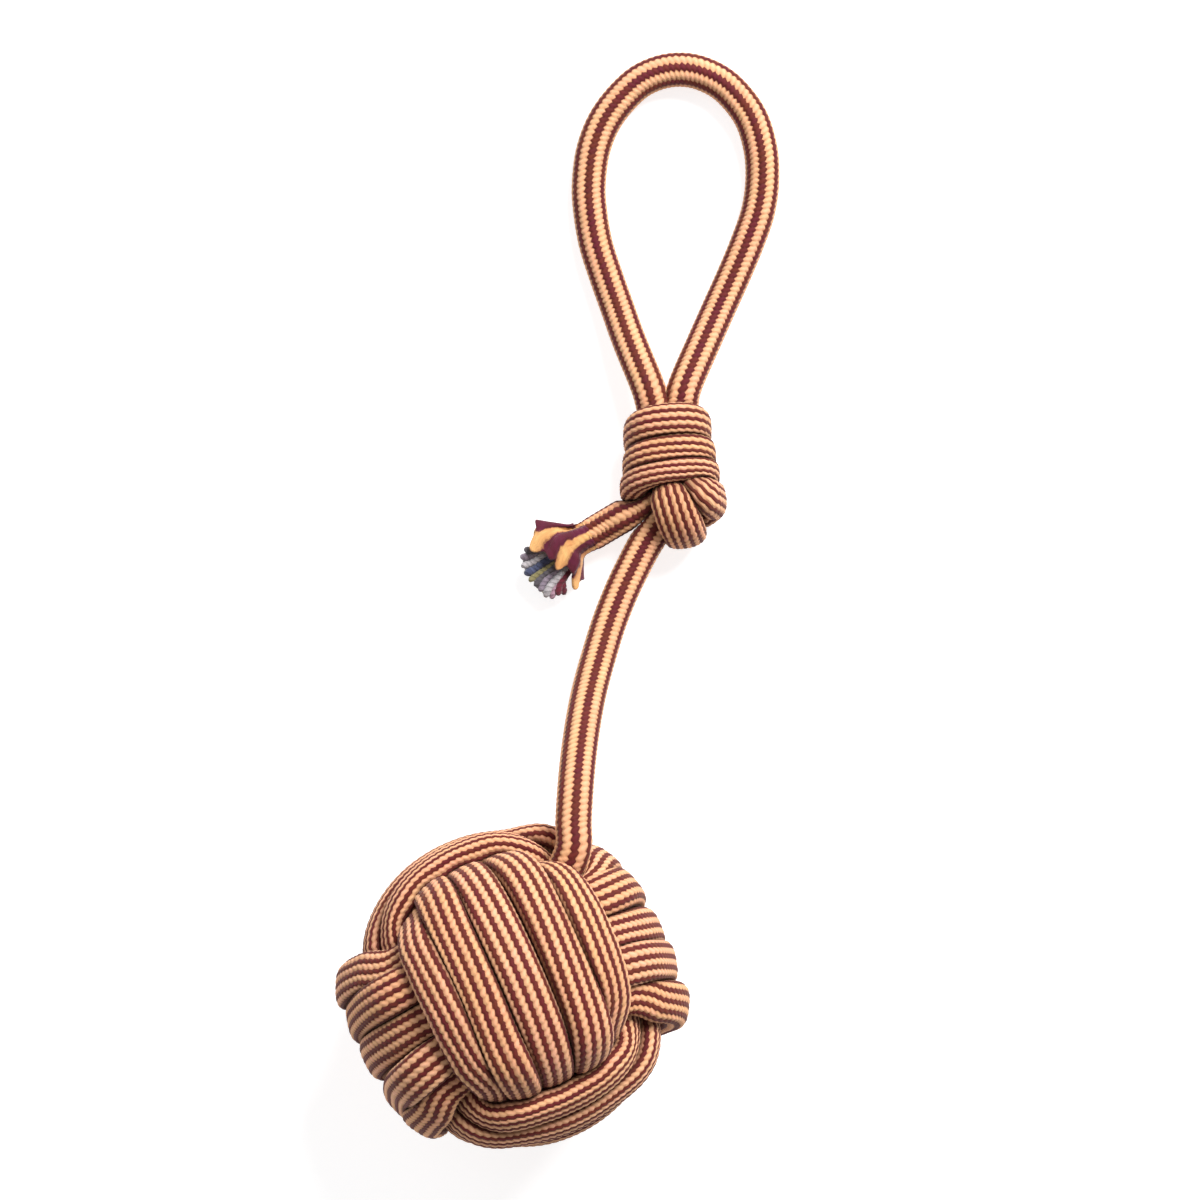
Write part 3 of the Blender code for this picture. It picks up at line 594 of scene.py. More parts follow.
def knit_material(name, seed, cream=(229, 176, 131), cream2=(225, 164, 131), dark=(98, 23, 29), dark2=(96, 36, 22), edge=0.465):
    """Burgundy and cream wales of slanted stitches, spun from fine yarn."""
    k = Nodes(name)
    u, v = k.uv()
    f = k.math("FRACT", u)
    lean = k.math("MINIMUM", k.math("DIVIDE", f, 0.7), k.math("DIVIDE", k.math("SUBTRACT", 1.0, f), 0.3))
    w = k.math("ADD", v, k.math("MULTIPLY", k.math("SUBTRACT", lean, 0.5), 2 * ZIGZAG))
    # neighbouring yarns cross the edge unevenly
    ragged = k.noise(k.xyz(k.math("MULTIPLY", u, 3.0), k.math("MULTIPLY", v, 1.5), seed), 1.0, 2.0, 0.6)
    w2 = k.math("ADD", w, k.math("MULTIPLY", k.math("SUBTRACT", ragged, 0.5), 0.20))
    wave = k.math("PINGPONG", k.math("ADD", w2, 15.5), 1.0)
    n = k.t.nodes.new("ShaderNodeMapRange")
    n.interpolation_type = "SMOOTHSTEP"
    k.put(n.inputs["Value"], wave)
    n.inputs["From Min"].default_value, n.inputs["From Max"].default_value = edge - 0.07, edge + 0.07
    is_cream = n.outputs[0]
    cell = k.math("FLOOR", w)
    across = k.math("SUBTRACT", k.math("FRACT", w), 0.5)
    run = k.math("ADD", u, k.math("MULTIPLY_ADD", across, SLANT, 0.25))
    p = k.math("FRACT", run)
    groove = k.math("POWER", k.math("ABSOLUTE", k.math("MULTIPLY", across, 2.0)), 2.6)
    dip = k.math("POWER", k.math("ABSOLUTE", k.math("MULTIPLY_ADD", p, 2.0, -1.0)), 2.6)
    # each stitch takes its own shade, and the dye drifts along the rope
    one = k.white(k.xyz(k.math("FLOOR", run), cell, seed))
    drift = k.noise(k.xyz(k.math("MULTIPLY", u, 0.11), k.math("MULTIPLY", cell, 0.7), seed + 3.0), 1.0, 2.0)
    # filaments run along each stitch, on the slant
    thread = k.noise(k.xyz(k.math("MULTIPLY", run, 0.9), k.math("MULTIPLY", k.math("ADD", across, k.math("MULTIPLY", p, 0.35)), 9.0), k.math("ADD", cell, seed)), 1.3, 3.0, 0.65)
    warm = k.math("ADD", k.math("MULTIPLY_ADD", drift, 2.4, -0.7), k.math("MULTIPLY_ADD", one, 0.7, -0.35), clamp=True)
    light = k.mix(warm, linear(*cream), linear(*cream2))
    deep = k.mix(warm, linear(*dark), linear(*dark2))
    # painted shade: cream and burgundy darken towards brown where they sink into the grooves between wales and the dips
    # between stitches
    groove_shade = k.math("ADD", k.math("MULTIPLY", groove, 0.48), k.math("MULTIPLY", dip, 0.42), clamp=True)
    light = k.mix(groove_shade, light, linear(164, 102, 64))
    deep = k.mix(groove_shade, deep, linear(66, 22, 14))
    colour = k.mix(is_cream, deep, light)
    shade = k.math("MULTIPLY", k.math("MULTIPLY_ADD", one, 0.16, 0.92), k.math("MULTIPLY_ADD", thread, 0.42, 0.79))
    colour = k.mix(1.0, colour, k.xyz(shade, shade, shade), "MULTIPLY")
    # painted shade: the sides pressed against neighbouring ropes are darkened towards deep brown
    colour = k.mix(k.math("MULTIPLY", k.attribute("contact_shade"), 0.66, clamp=True), colour, linear(70, 28, 17))
    k.put(k.bsdf.inputs["Base Color"], colour)
    k.bsdf.inputs["Specular IOR Level"].default_value = 0.22
    k.bsdf.inputs["Sheen Weight"].default_value = 0.10
    k.bsdf.inputs["Sheen Roughness"].default_value = 0.5
    k.bsdf.inputs["Sheen Tint"].default_value = (1.0, 0.80, 0.62, 1.0)
    k.put(k.bsdf.inputs["Roughness"], k.math("MULTIPLY_ADD", thread, 0.25, 0.62))
    k.bump(k.math("ADD", thread, k.math("MULTIPLY", groove, -0.4)), 0.55, 0.00018)
    return k.m


def open_material(name, seed):
    """The unravelled cover: wales of loose filaments that run out to the rim."""
    k = Nodes(name)
    u, v = k.uv()
    wander = k.noise(k.xyz(k.math("MULTIPLY", u, 0.8), k.math("MULTIPLY", v, 0.9), seed), 1.0, 2.0)
    w = k.math("ADD", v, k.math("MULTIPLY_ADD", wander, 0.5, -0.25))
    fine = k.noise(k.xyz(k.math("MULTIPLY", u, 0.55), k.math("MULTIPLY", w, 15.0), seed + 5.0), 1.0, 3.0, 0.7)
    w2 = k.math("ADD", w, k.math("MULTIPLY_ADD", fine, 0.3, -0.15))
    wave = k.math("PINGPONG", k.math("ADD", w2, 15.5), 1.0)
    n = k.t.nodes.new("ShaderNodeMapRange")
    n.interpolation_type = "SMOOTHSTEP"
    k.put(n.inputs["Value"], wave)
    n.inputs["From Min"].default_value, n.inputs["From Max"].default_value = 0.48, 0.64
    drift = k.noise(k.xyz(k.math("MULTIPLY", u, 0.45), k.math("MULTIPLY", v, 0.5), seed + 9.0), 1.0, 2.0)
    warm = k.math("MULTIPLY_ADD", drift, 2.6, -0.8, clamp=True)
    light = k.mix(warm, linear(228, 178, 114), linear(206, 144, 88))
    deep = k.mix(warm, linear(96, 24, 52), linear(78, 16, 30))
    across = k.math("SUBTRACT", k.math("FRACT", w), 0.5)
    groove = k.math("POWER", k.math("ABSOLUTE", k.math("MULTIPLY", across, 2.0)), 2.2)
    # painted shade: the cream darkens towards brown in the grooves between wales
    light = k.mix(k.math("MULTIPLY", groove, 0.55), light, linear(150, 84, 48))
    colour = k.mix(n.outputs[0], deep, light)
    shade = k.math("MULTIPLY_ADD", fine, 0.9, 0.55)
    colour = k.mix(1.0, colour, k.xyz(shade, shade, shade), "MULTIPLY")
    k.put(k.bsdf.inputs["Base Color"], colour)
    k.bsdf.inputs["Specular IOR Level"].default_value = 0.25
    k.bsdf.inputs["Sheen Weight"].default_value = 0.15
    k.put(k.bsdf.inputs["Roughness"], k.math("MULTIPLY_ADD", fine, 0.3, 0.55))
    k.bump(fine, 0.7, 0.0004)
    return k.m


def yarn_material(name, colour, colour2, seed):
    """A loose twisted yarn: two plies with painted shade in the groove between them, and fine fibres of uneven tone."""
    k = Nodes(name)
    u, v = k.uv()
    strand = k.math("FRACT", k.math("ADD", k.math("MULTIPLY", v, 2.0), k.math("MULTIPLY", u, 1.0)))
    ply = k.math("POWER", k.math("ABSOLUTE", k.math("MULTIPLY_ADD", strand, 2.0, -1.0)), 3.0)
    fibre = k.noise(k.xyz(k.math("MULTIPLY", u, 0.7), k.math("MULTIPLY", k.math("ADD", v, k.math("MULTIPLY", u, 0.5)), 16.0), seed), 1.0, 3.0, 0.7)
    drift = k.noise(k.xyz(k.math("MULTIPLY", u, 0.35), seed, 0.0), 1.0)
    base = k.mix(k.math("MULTIPLY_ADD", drift, 1.8, -0.4, clamp=True), linear(*colour), linear(*colour2))
    # painted shade in the grooves between the plies; the fibre noise varies the tone
    shade = k.math("MULTIPLY", k.math("MULTIPLY_ADD", ply, -0.42, 1.05), k.math("MULTIPLY_ADD", fibre, 0.7, 0.64))
    k.put(k.bsdf.inputs["Base Color"], k.mix(1.0, base, k.xyz(shade, shade, shade), "MULTIPLY"))
    k.bsdf.inputs["Specular IOR Level"].default_value = 0.2
    k.bsdf.inputs["Sheen Weight"].default_value = 0.3
    k.put(k.bsdf.inputs["Roughness"], k.math("MULTIPLY_ADD", fibre, 0.2, 0.7))
    k.bump(k.math("SUBTRACT", fibre, ply), 0.6, 0.0003)
    return k.m


def rubber_material():
    k = Nodes("core_rubber")
    n = k.t.nodes.new("ShaderNodeTexCoord")
    grain = k.noise(n.outputs["Object"], 900.0, 4.0, 0.6)
    k.put(k.bsdf.inputs["Base Color"], k.mix(grain, linear(58, 58, 60), linear(88, 86, 84)))
    k.put(k.bsdf.inputs["Roughness"], k.math("MULTIPLY_ADD", grain, 0.3, 0.55))
    k.bump(grain, 0.3, 0.0003)
    return k.m


# ------------------------------------------------------------------ the ball
def ball_axes():
    a = math.radians(BALL_TURN_Z)
    right = np.array([math.cos(a), math.sin(a), 0.0])
    top = np.array([-math.sin(a), math.cos(a), 0.0])
    front = np.array([0, 0, 1.0]) + right * math.tan(math.radians(BALL_TILT[0])) + top * math.tan(math.radians(BALL_TILT[1]))
    front = unit(front)
    right = unit(right - front * (right @ front))
    return np.stack([right, np.cross(front, right), front])


def first_turns():
    n = PATH_POINTS
    t = np.arange(n) * 2 * math.pi / n
    c, s = np.cos(t), np.sin(t)
    over = np.clip((np.abs(c) - 0.25) / 0.70, 0, 1)
    over = over * over * (3 - 2 * over)
    first = np.clip(0.5 + 2 * c, 0, 1)
    upper = np.clip(0.5 + 2 * s, 0, 1)
    paths = []
    for h, (name, i_space, i_under, i_over) in enumerate(SETS):
        far_a, far_b = FAR_SHIFT[name]
        near_a, near_b = NEAR_SHIFT[name]
        for k in range(TURNS):
            j = k - (TURNS - 1) / 2
            far, near = j * PITCH_OVER[name], j * PITCH_UNDER
            one, two = UNEVEN.get(f"{name}_{k + 1}", (0.0, 0.0))
            a = OVER_R[name] - far * far / CROWN[name] + one * first + two * (1 - first)
            b = UNDER_R - near * near / HUG
            slid = SLID.get(f"{name}_{k + 1}", (0.0, 0.0, 0.0, 0.0))
            power = POWER[name]
            r = (np.abs(c / a) ** power + np.abs(s / b) ** power) ** (-1 / power)
            for at, wide, more in NUDGE.get(f"{name}_{k + 1}", ()):
                off = (np.degrees(t) - at + 180) % 360 - 180
                r = r + more * np.exp(-((off / wide) ** 2))
            p = np.zeros((n, 3))
            p[:, i_over] = r * c
            p[:, i_under] = r * s
            skew = 0.020 * math.sin(2.4 * (5 * h + k) + 0.7)
            far_here = far + (far_a + slid[0]) * first + (far_b + slid[1]) * (1 - first)
            near_here = near + (near_a + slid[2]) * upper + (near_b + slid[3]) * (1 - upper)
            p[:, i_space] = near_here + (far_here - near_here) * over + skew * r * c
            paths.append(p)
    return np.stack(paths)


def settled_turns(posts, post_r):
    start = first_turns()
    p = start.copy()
    h, n = p.shape[:2]
    turn = np.repeat(np.arange(h), n)
    own = turn[:, None] == turn[None, :]
    kind = turn // TURNS
    least = np.where(kind[:, None] == kind[None, :], SIDE_GAP, CROSS_GAP)
    # front turns lie over side turns, side turns over top turns, top turns over front turns
    above = {(0, 2): 1.0, (2, 1): 1.0, (1, 0): 1.0, (2, 0): -1.0, (1, 2): -1.0, (0, 1): -1.0}
    rank = np.array([[above.get((i, j), 0.0) for j in range(3)] for i in range(3)])[kind[:, None], kind[None, :]]
    for i in range(SETTLE_STEPS):
        q = p.reshape(-1, 3)
        v = q[:, None, :] - q[None, :, :]
        real = np.sqrt((v * v).sum(2)) + 1e-9
        level = np.linalg.norm(q, axis=1)
        out = q / level[:, None]
        step = level[:, None] - level[None, :]
        lift = np.where(rank != 0, np.maximum(rank * step, 4.0) * rank - step, 0.0)
        v = v + out[:, None, :] * lift[:, :, None]
        dist = np.sqrt((v * v).sum(2)) + 1e-9
        wrong = (rank != 0) & (rank * step < 0)
        short = np.where(own, 0, np.maximum(least - np.where(wrong, 0.5 * dist, dist), 0))
        push = (v / dist[:, :, None] * short[:, :, None]).sum(1)
        push = push / np.maximum((short > 0).sum(1), 1)[:, None] * 0.6
        r = np.linalg.norm(q, axis=1)
        push += q / r[:, None] * np.maximum(CORE_D / 2 + 5.3 - r, 0)[:, None] * 0.7
        w = q[:, None, :] - posts[None, :, :]
        away = np.sqrt((w * w).sum(2)) + 1e-9
        near = np.maximum(post_r - away, 0)
        push += (w / away[:, :, None] * near[:, :, None]).max(1) * 0.5 + (w / away[:, :, None] * near[:, :, None]).min(1) * 0.5
        push = push.reshape(h, n, 3)
        for _ in range(4):
            push = (np.roll(push, 1, 1) + 2 * push + np.roll(push, -1, 1)) / 4
        hold = HOLD
        if i >= SETTLE_STEPS - 24:
            # what still runs into a crossing turn is moved more freely
            clash = np.where(rank != 0, np.maximum(CLASH_GAP - real, 0), 0)
            worst, amount, k = clash.argmax(1), clash.max(1), np.arange(len(q))
            more = (v[k, worst] / dist[k, worst][:, None] * amount[:, None] * 0.8).reshape(h, n, 3)
            busy = (amount > 0).astype(float).reshape(h, n, 1)
            for _ in range(3):
                more = (np.roll(more, 1, 1) + 2 * more + np.roll(more, -1, 1)) / 4
            for _ in range(5):
                busy = np.maximum(busy, (np.roll(busy, 1, 1) + np.roll(busy, -1, 1)) / 2)
            hold = HOLD * (1 - busy)
            push = push + more
        back = start - p
        up = unit(p)
        rise = up * (back * up).sum(2, keepdims=True)
        p = p + push + rise * 0.01 + (back - rise) * hold
        if i >= SETTLE_STEPS - 24:
            p = p + ((np.roll(p, 1, 1) + np.roll(p, -1, 1)) / 2 - p) * busy * 0.3
    return p


def swept_by_tether():
    """The space that the tether takes as it lifts."""
    along = unit(np.asarray(TETHER_ROUTE[2], float) - TETHER_ROOT)
    out = unit(TETHER_ROOT - BALL_CENTRE)
    lines = [BALL_CENTRE + out * k for k in np.arange(41.0, 52.0, 2.5)]
    for deg in (0, 30, 60, 90):
        a = math.radians(deg)
        y, z = along[1], along[2]
        lean = np.array([along[0], y * math.cos(a) - z * math.sin(a), y * math.sin(a) + z * math.cos(a)])
        lines += [TETHER_ROOT + lean * k for k in (0.0, 4.0, 8.0, 12.0, 16.0)]
    return np.array(lines)


def build_ball(mats):
    axes = ball_axes()
    posts = swept_by_tether()
    turns = settled_turns((posts - BALL_CENTRE) @ axes.T, POST_GAP) @ axes + BALL_CENTRE
    fine = [even(t, 220, True)[0] for t in turns]
    root_out = np.array([BALL_CENTRE + unit(TETHER_ROOT - BALL_CENTRE) * k for k in np.arange(38.0, 53.0, 1.5)])
    for i, turn in enumerate(turns):
        name = f"{SETS[i // TURNS][0]}_{i % TURNS + 1}"
        others = np.concatenate([fine[j] for j in range(len(turns)) if j != i])

        def inside(c, d, r):
            dn = -(d * unit(c - BALL_CENTRE)[:, None, :]).sum(2)
            dist = np.linalg.norm(c - BALL_CENTRE, axis=1)[:, None]
            r = np.minimum(r, np.where(dn > 0.05, (dist - CORE_D / 2 - 0.5) / np.maximum(dn, 0.05), 1e9))
            for k in range(len(c)):  # room for the tether's first stretch
                v = root_out - c[k]
                away = np.linalg.norm(v, axis=1)
                near = away < 22
                if near.any():
                    n = v[near] / away[near, None]
                    dn = d[k] @ n.T
                    lim = np.where(dn > 0.05, (away[near] - 6.0) / np.maximum(dn, 0.05), 1e9)
                    r[k] = np.minimum(r[k], np.maximum(lim.min(1), 1.0))
            return r

        a, b, c3 = rng.uniform(-1, 1, 3)
        base = TIGHT * (i * 0.618 % 1)
        shift = lambda x, a=a, b=b, c3=c3, base=base: base + 0.9 * a * np.sin(2 * math.pi * x + 3 * b) + 0.5 * c3 * np.sin(4 * math.pi * x + b)
        half_w, half_t = (5.5, 4.7) if name == "top_wrap_5" else SIZE[SETS[i // TURNS][0]]
        rope = Rope(turn, True, lambda c: unit(c - BALL_CENTRE), half_w, half_t, 3.0, others, 0.1, shift, 1.18, 2.0, inside, 0.05, (1, 1))
        obj = rope.piece(name, mats[i % len(mats)])
        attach(obj, "ball")
        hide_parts(name)
        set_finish(obj, "knitted_rope")


# ---------------------------------------------------------- knot, loop, tether
def barrel_turn(centre, half_x, half_z, rise, lean, n):
    t = np.arange(n) * 2 * math.pi / n
    x, z = half_x * np.cos(t), half_z * np.sin(t)
    k = (np.abs(np.cos(t)) ** 2.4 + np.abs(np.sin(t)) ** 2.4) ** (-1 / 2.4)
    x, z = x * k, z * k
    return np.asarray(centre) + np.stack([x, rise * x + lean * z, z], 1)


def index_at(line, y, rising):
    """Length along a line where it first passes y in that direction."""
    s = np.r_[0, np.cumsum(np.linalg.norm(np.diff(line, axis=0), axis=1))]
    for i in range(1, len(line)):
        a, b = line[i - 1, 1], line[i, 1]
        if (a < y <= b) if rising else (a >= y > b):
            return float(s[i - 1] + (s[i] - s[i - 1]) * (y - a) / (b - a))


def nearest(line, point):
    s = np.r_[0, np.cumsum(np.linalg.norm(np.diff(line, axis=0), axis=1))]
    return float(s[np.argmin(np.linalg.norm(line - np.asarray(point, float), axis=1))])


def build_free_ropes(mats, slack):
    lines = {
        "barrel_turn_1": (barrel_turn(*BARREL[0], 22), True),
        "barrel_turn_2": (barrel_turn(*BARREL[1], 22), True),
        "barrel_turn_3": (barrel_turn(*BARREL[2], 22), True),
        "crossing_strand": (CROSSING, False),
        "side_strand": (SIDE, False),
        "tether": ([BALL_CENTRE + unit(TETHER_ROOT - BALL_CENTRE) * 40.5] + TETHER_ROUTE, False),
        "loop": (LOOP_ROUTE, False),
        "tail": (TAIL_ROUTE, False),
    }
    fine = {k: even(p, max(20, int(even(p, 30, c)[1] / 1.5)), c)[0] for k, (p, c) in lines.items()}
    near_knot = {k: v[(v[:, 1] > 8) & (v[:, 1] < 72)] for k, v in fine.items()}
    others = lambda name: np.concatenate([near_knot[k] for k in near_knot if k != name])
    middle = np.array([24.0, 44.0, 14.5])

    for i in range(3):
        name = f"barrel_turn_{i + 1}"
        hub = np.asarray(BARREL[i][0])

        def outward(c, hub=hub):
            o = c - hub
            o[:, 1] *= 0.2
            return unit(o)

        rope = Rope(lines[name][0], True, outward, *BARREL_SIZE[i], 2.7, others(name), 0.1,
                    lambda x, i=i: (1.1, 0.3, 0.9)[i] + 0.4 * np.sin(2 * math.pi * x + i), 1.12, 1.5, wales=KNOTTED)
        obj = rope.piece(name, mats[i])
        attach(obj, "knot")
        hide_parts(name)
        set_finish(obj, "knitted_rope")

    for name, node, k in (("crossing_strand", "knot_crossing_strand", 1), ("side_strand", "knot_side_strand", 2)):
        hub = np.array([27.0, 33.0, 14.0])
        rope = Rope(lines[name][0], False, lambda c: unit(c - hub), 7.8, 5.0, 2.3, others(name), 0.1, 1.3 * k, 1.1, 1.5, wales=BENT)
        obj = rope.piece(name, mats[k], caps=(True, True))
        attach(obj, "knot")
        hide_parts(node)
        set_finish(obj, "knitted_rope")

    # the tether, in three pieces: a short one at the ball, the middle, and a short one at the knot
    rope = Rope(lines["tether"][0], False, (0.05, 0.0, 1.0), 6.0, 6.0, 2.0, others("tether"), 0.1, lambda x: 1.4 + 0.2 * x, 1.0, 1.5,
                stitch=SLACK_STITCH, wales=SLACK)
    s_root, s_knot = nearest(rope.line, TETHER_ROOT), nearest(rope.line, KNOT_PIVOT)
    a, b = rope.ring_at(s_root + 14.0), rope.ring_at(s_knot - 14.0)
    start = rope.piece("tether_exit", slack[0], 0, a)
    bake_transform(start)
    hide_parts("tether_root")
    main = rope.piece("tether", slack[0], a, b)
    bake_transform(main)
    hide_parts("tether_lower", "tether_upper")
    end = rope.piece("tether_end", slack[0], b, None)
    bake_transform(end)
    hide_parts("tether_in_knot")
    path = rope.line[a : b + 1]

    # the hand loop: two legs from inside the knot, and the bow between them
    rope = Rope(lines["loop"][0], False, (0.0, 0.0, 1.0), 5.95, 5.95, 2.0, others("loop"), 0.1, lambda x: 3.6 - 0.3 * x, 1.0, 1.5,
                stitch=SLACK_STITCH, wales=SLACK)
    a = rope.ring_at(index_at(rope.line, 121.0, True))
    b = rope.ring_at(index_at(rope.line, 121.0, False))
    left, bow, right = rope.piece("loop_leg_left", slack[1], 0, a), rope.piece("loop_bow", slack[1], a, b), rope.piece("loop_leg_right", slack[1], b, None)
    for leg, node, inner in ((left, "loop_leg_left", "knot_inner_strand_left"), (right, "loop_leg_right", "knot_inner_strand_right")):
        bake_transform(leg)
        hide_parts(node, inner)
    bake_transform(bow)
    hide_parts("loop_bow")
    for obj, i, j, far in ((left, 0, a, "object"), (bow, a, b, "object"), (right, b, len(rope.line) - 1, "object")):
        path = rope.line[i : j + 1]
        if obj == right:
            path = path[::-1]

    # the tail, up to its splayed end
    rope = Rope(lines["tail"][0], False, (0.0, 0.0, 1.0), 5.8, 5.8, 2.0, others("tail"), 0.1, 0.5, 1.0, 1.2,
                stitch=SLACK_STITCH, wales=SLACK)
    obj = rope.piece("tail", slack[2], caps=(False, True))
    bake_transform(obj)
    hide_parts("tail", "tail_in_knot")
    for o in bpy.context.scene.objects:
        if o.name in ("tether_exit", "tether", "tether_end", "loop_leg_left", "loop_bow", "loop_leg_right", "tail") and "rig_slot" not in o:
            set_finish(o, "knitted_rope")


def build_cut_end(cover, yarns):
    # the splayed cover: outside from the neck to the rim, then back inside
    neck = np.array(FLARE_NECK)
    t = unit(np.array([-0.86, -0.5, -0.06]))
    n = unit(np.array([0.0, 0.0, 1.0]) - t * t[2])
    b = np.cross(t, n)
    ang = math.pi / 2 + np.arange(SLACK) * 2 * math.pi / SLACK
    ring0 = neck + (b * np.cos(ang)[:, None] + n * np.sin(ang)[:, None]) * 5.7
    ribs = np.concatenate([ring0[None], np.array(FLARE_RIBS).transpose(1, 0, 2)])
    fine = 9
    m, rows = SLACK * fine, 56
    around = np.arange(m) / fine
    stations = np.stack([between(rib, around, True) for rib in ribs])
    cell = np.floor(around + 0.5).astype(int) % SLACK
    across = (around + 0.5) % 1 - 0.5
    # neighbouring wales part at the rim, so the scallops meet in a soft notch
    reach = 1 + np.array(FLARE_REACH)[cell] - 0.34 * np.abs(across) ** 2 * 1.5
    for _ in range(3):
        reach = (np.roll(reach, 1) + 2 * reach + np.roll(reach, -1)) / 4
    bulge = np.array(FLARE_BULGE)[cell]
    for _ in range(2):
        bulge = (np.roll(bulge, 1) + 2 * bulge + np.roll(bulge, -1)) / 4
    first, last = 2 * stations[:1] - stations[1:2], 2 * stations[-1:] - stations[-2:-1]
    keys = np.concatenate([first, stations, last])

    def at(q):
        x = np.interp(q, [0, 0.35, 0.68, 1.0, 1.33], [0, 1, 2, 3, 4])
        k = np.clip(np.floor(x).astype(int), 0, 2)
        f = (x - k)[:, :, None]
        col = np.arange(m)[None, :]
        p0, p1, p2, p3 = (keys[k + o, col] for o in range(4))
        return 0.5 * (2 * p1 + (p2 - p0) * f + (2 * p0 - 5 * p1 + 4 * p2 - p3) * f**2 + (3 * p1 - 3 * p2 + p3 - p0) * f**3)

    q = np.linspace(0, 1, rows)[:, None] * reach[None, :]
    skin = at(q)
    run = np.concatenate([np.zeros((1, m)), np.cumsum(np.linalg.norm(np.diff(skin, axis=0), axis=2), 0)]) / SLACK_STITCH
    v = (around[None, :] - 0.5) % SLACK
    down = np.gradient(skin, axis=0)
    side = np.roll(skin, -1, 1) - np.roll(skin, 1, 1)
    normal = unit(np.cross(side, down))
    normal = normal * np.sign((normal * (skin - skin.mean(1, keepdims=True))).sum())
    for _ in range(2):
        normal = unit(np.roll(normal, 1, 1) + 2 * normal + np.roll(normal, -1, 1))
    open_ = np.clip(q, 0, 1.1) ** 1.5
    lobe = bulge[None, :] * open_ * (0.8 - 4.4 * across[None, :] ** 2)
    folds = open_ * (0.22 * np.sin(v * 5.1 + run * 0.55) + 0.14 * np.sin(v * 13.0 - run * 0.3 + 1.0))
    knit_relief = relief(run, np.broadcast_to(v, run.shape)) * np.clip(1 - 2.4 * q, 0.0, 1)
    skin = skin + normal * (lobe + folds + knit_relief)[:, :, None]

    lip = skin[-1] - skin[-2]
    lip = unit(lip)
    made = [skin[k] for k in range(rows)]
    for depth, past in ((0.2, 0.22), (0.5, 0.32), (0.8, 0.22)):
        made.append(skin[-1] - normal[-1] * FLARE_WALL * depth + lip * past)
    back = list(range(rows - 1, 15, -1))
    made += [skin[k] - normal[k] * FLARE_WALL for k in back]
    pts = np.stack(made)
    pts[:, :, 2] = np.maximum(pts[:, :, 2], 0.05)
    us = np.concatenate([run, np.repeat(run[-1:], 3, 0) + np.array([0.1, 0.2, 0.3])[:, None], run[back]])
    n_rows = len(pts)
    i, j = np.meshgrid(np.arange(n_rows - 1), np.arange(m), indexing="ij")
    j1 = (j + 1) % m
    quads = np.stack([i * m + j, (i + 1) * m + j, (i + 1) * m + j1, i * m + j1], 2).reshape(-1, 4)
    uu = np.stack([us[i, j], us[i + 1, j], us[i + 1, j1], us[i, j1]], 2)
    vv = np.stack([j, j, j + 1, j + 1], 2) / fine - 0.5 + SLACK
    knit = np.stack([uu, vv], 3).reshape(-1, 2)
    obj = make_mesh("tail_flare", pts.reshape(-1, 3), quads, knit, bake_layout(i, j, n_rows - 1, m, 24.0, 60.0), cover)
    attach(obj, "tail")
    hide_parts("tail_cover_flare")
    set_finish(obj, "knitted_rope_cream")

    # core yarns: three plies twisted together, fanning out of the mouth
    neck, mouth = np.array([-6.5, 20.2, 8.6]), np.array([-16.2, 13.6, 8.6])
    names = list(yarns)
    parts = {"verts": [], "quads": [], "tris": [], "knit": [], "knit3": [], "bake": [], "bake3": [], "mat4": [], "mat3": []}
    sides, base = 18, 0
    for k, (end, r, colour) in enumerate(YARNS):
        end = np.array(end)
        side = np.array([0.592, -0.806, 0.0])
        off = (end - mouth) @ side
        lift = end[2] - mouth[2]
        wob = rng.uniform(-0.5, 0.5, (3, 3))
        at = [neck + side * off * 0.22 + [0, 0, lift * 0.45], mouth + side * off * 0.62 + [0, 0, lift * 0.8] + wob[0] * 0.6,
              mouth + (end - mouth) * 0.62 + side * off * 0.12 + wob[1], end + wob[2] * 0.4]
        c, length = even(at, 34)
        t = tangents(c, False)
        n = unit(np.array([0.0, 0.0, 1.0]) - t * t[:, 2:3])
        b = np.cross(t, n)
        x = np.linspace(0, length, 34)
        a = np.arange(sides) * 2 * math.pi / sides
        size = np.full(34, r)
        size[-4:] = r * np.array([1.04, 1.0, 0.82, 0.45])
        twist = a[None, :] - x[:, None] * 1.35 + k
        rad = size[:, None] * (0.90 + 0.14 * np.abs(np.cos(1.5 * twist)) + 0.03 * np.sin(5 * x[:, None] + 3 * a[None, :]))
        pts = c[:, None, :] + (b[:, None, :] * np.cos(a)[None, :, None] + n[:, None, :] * np.sin(a)[None, :, None]) * rad[:, :, None]
        pts[:, :, 2] = np.maximum(pts[:, :, 2], 0.1)
        verts = np.vstack([pts.reshape(-1, 3), c[-1] + t[-1] * r * 0.12])
        i, j = np.meshgrid(np.arange(33), np.arange(sides), indexing="ij")
        j1 = (j + 1) % sides
        parts["quads"].append(base + np.stack([i * sides + j, i * sides + j1, (i + 1) * sides + j1, (i + 1) * sides + j], 2).reshape(-1, 4))
        uu = np.stack([x[i], x[i], x[i + 1], x[i + 1]], 2)
        vv = np.stack([j, j + 1, j + 1, j], 2) / sides
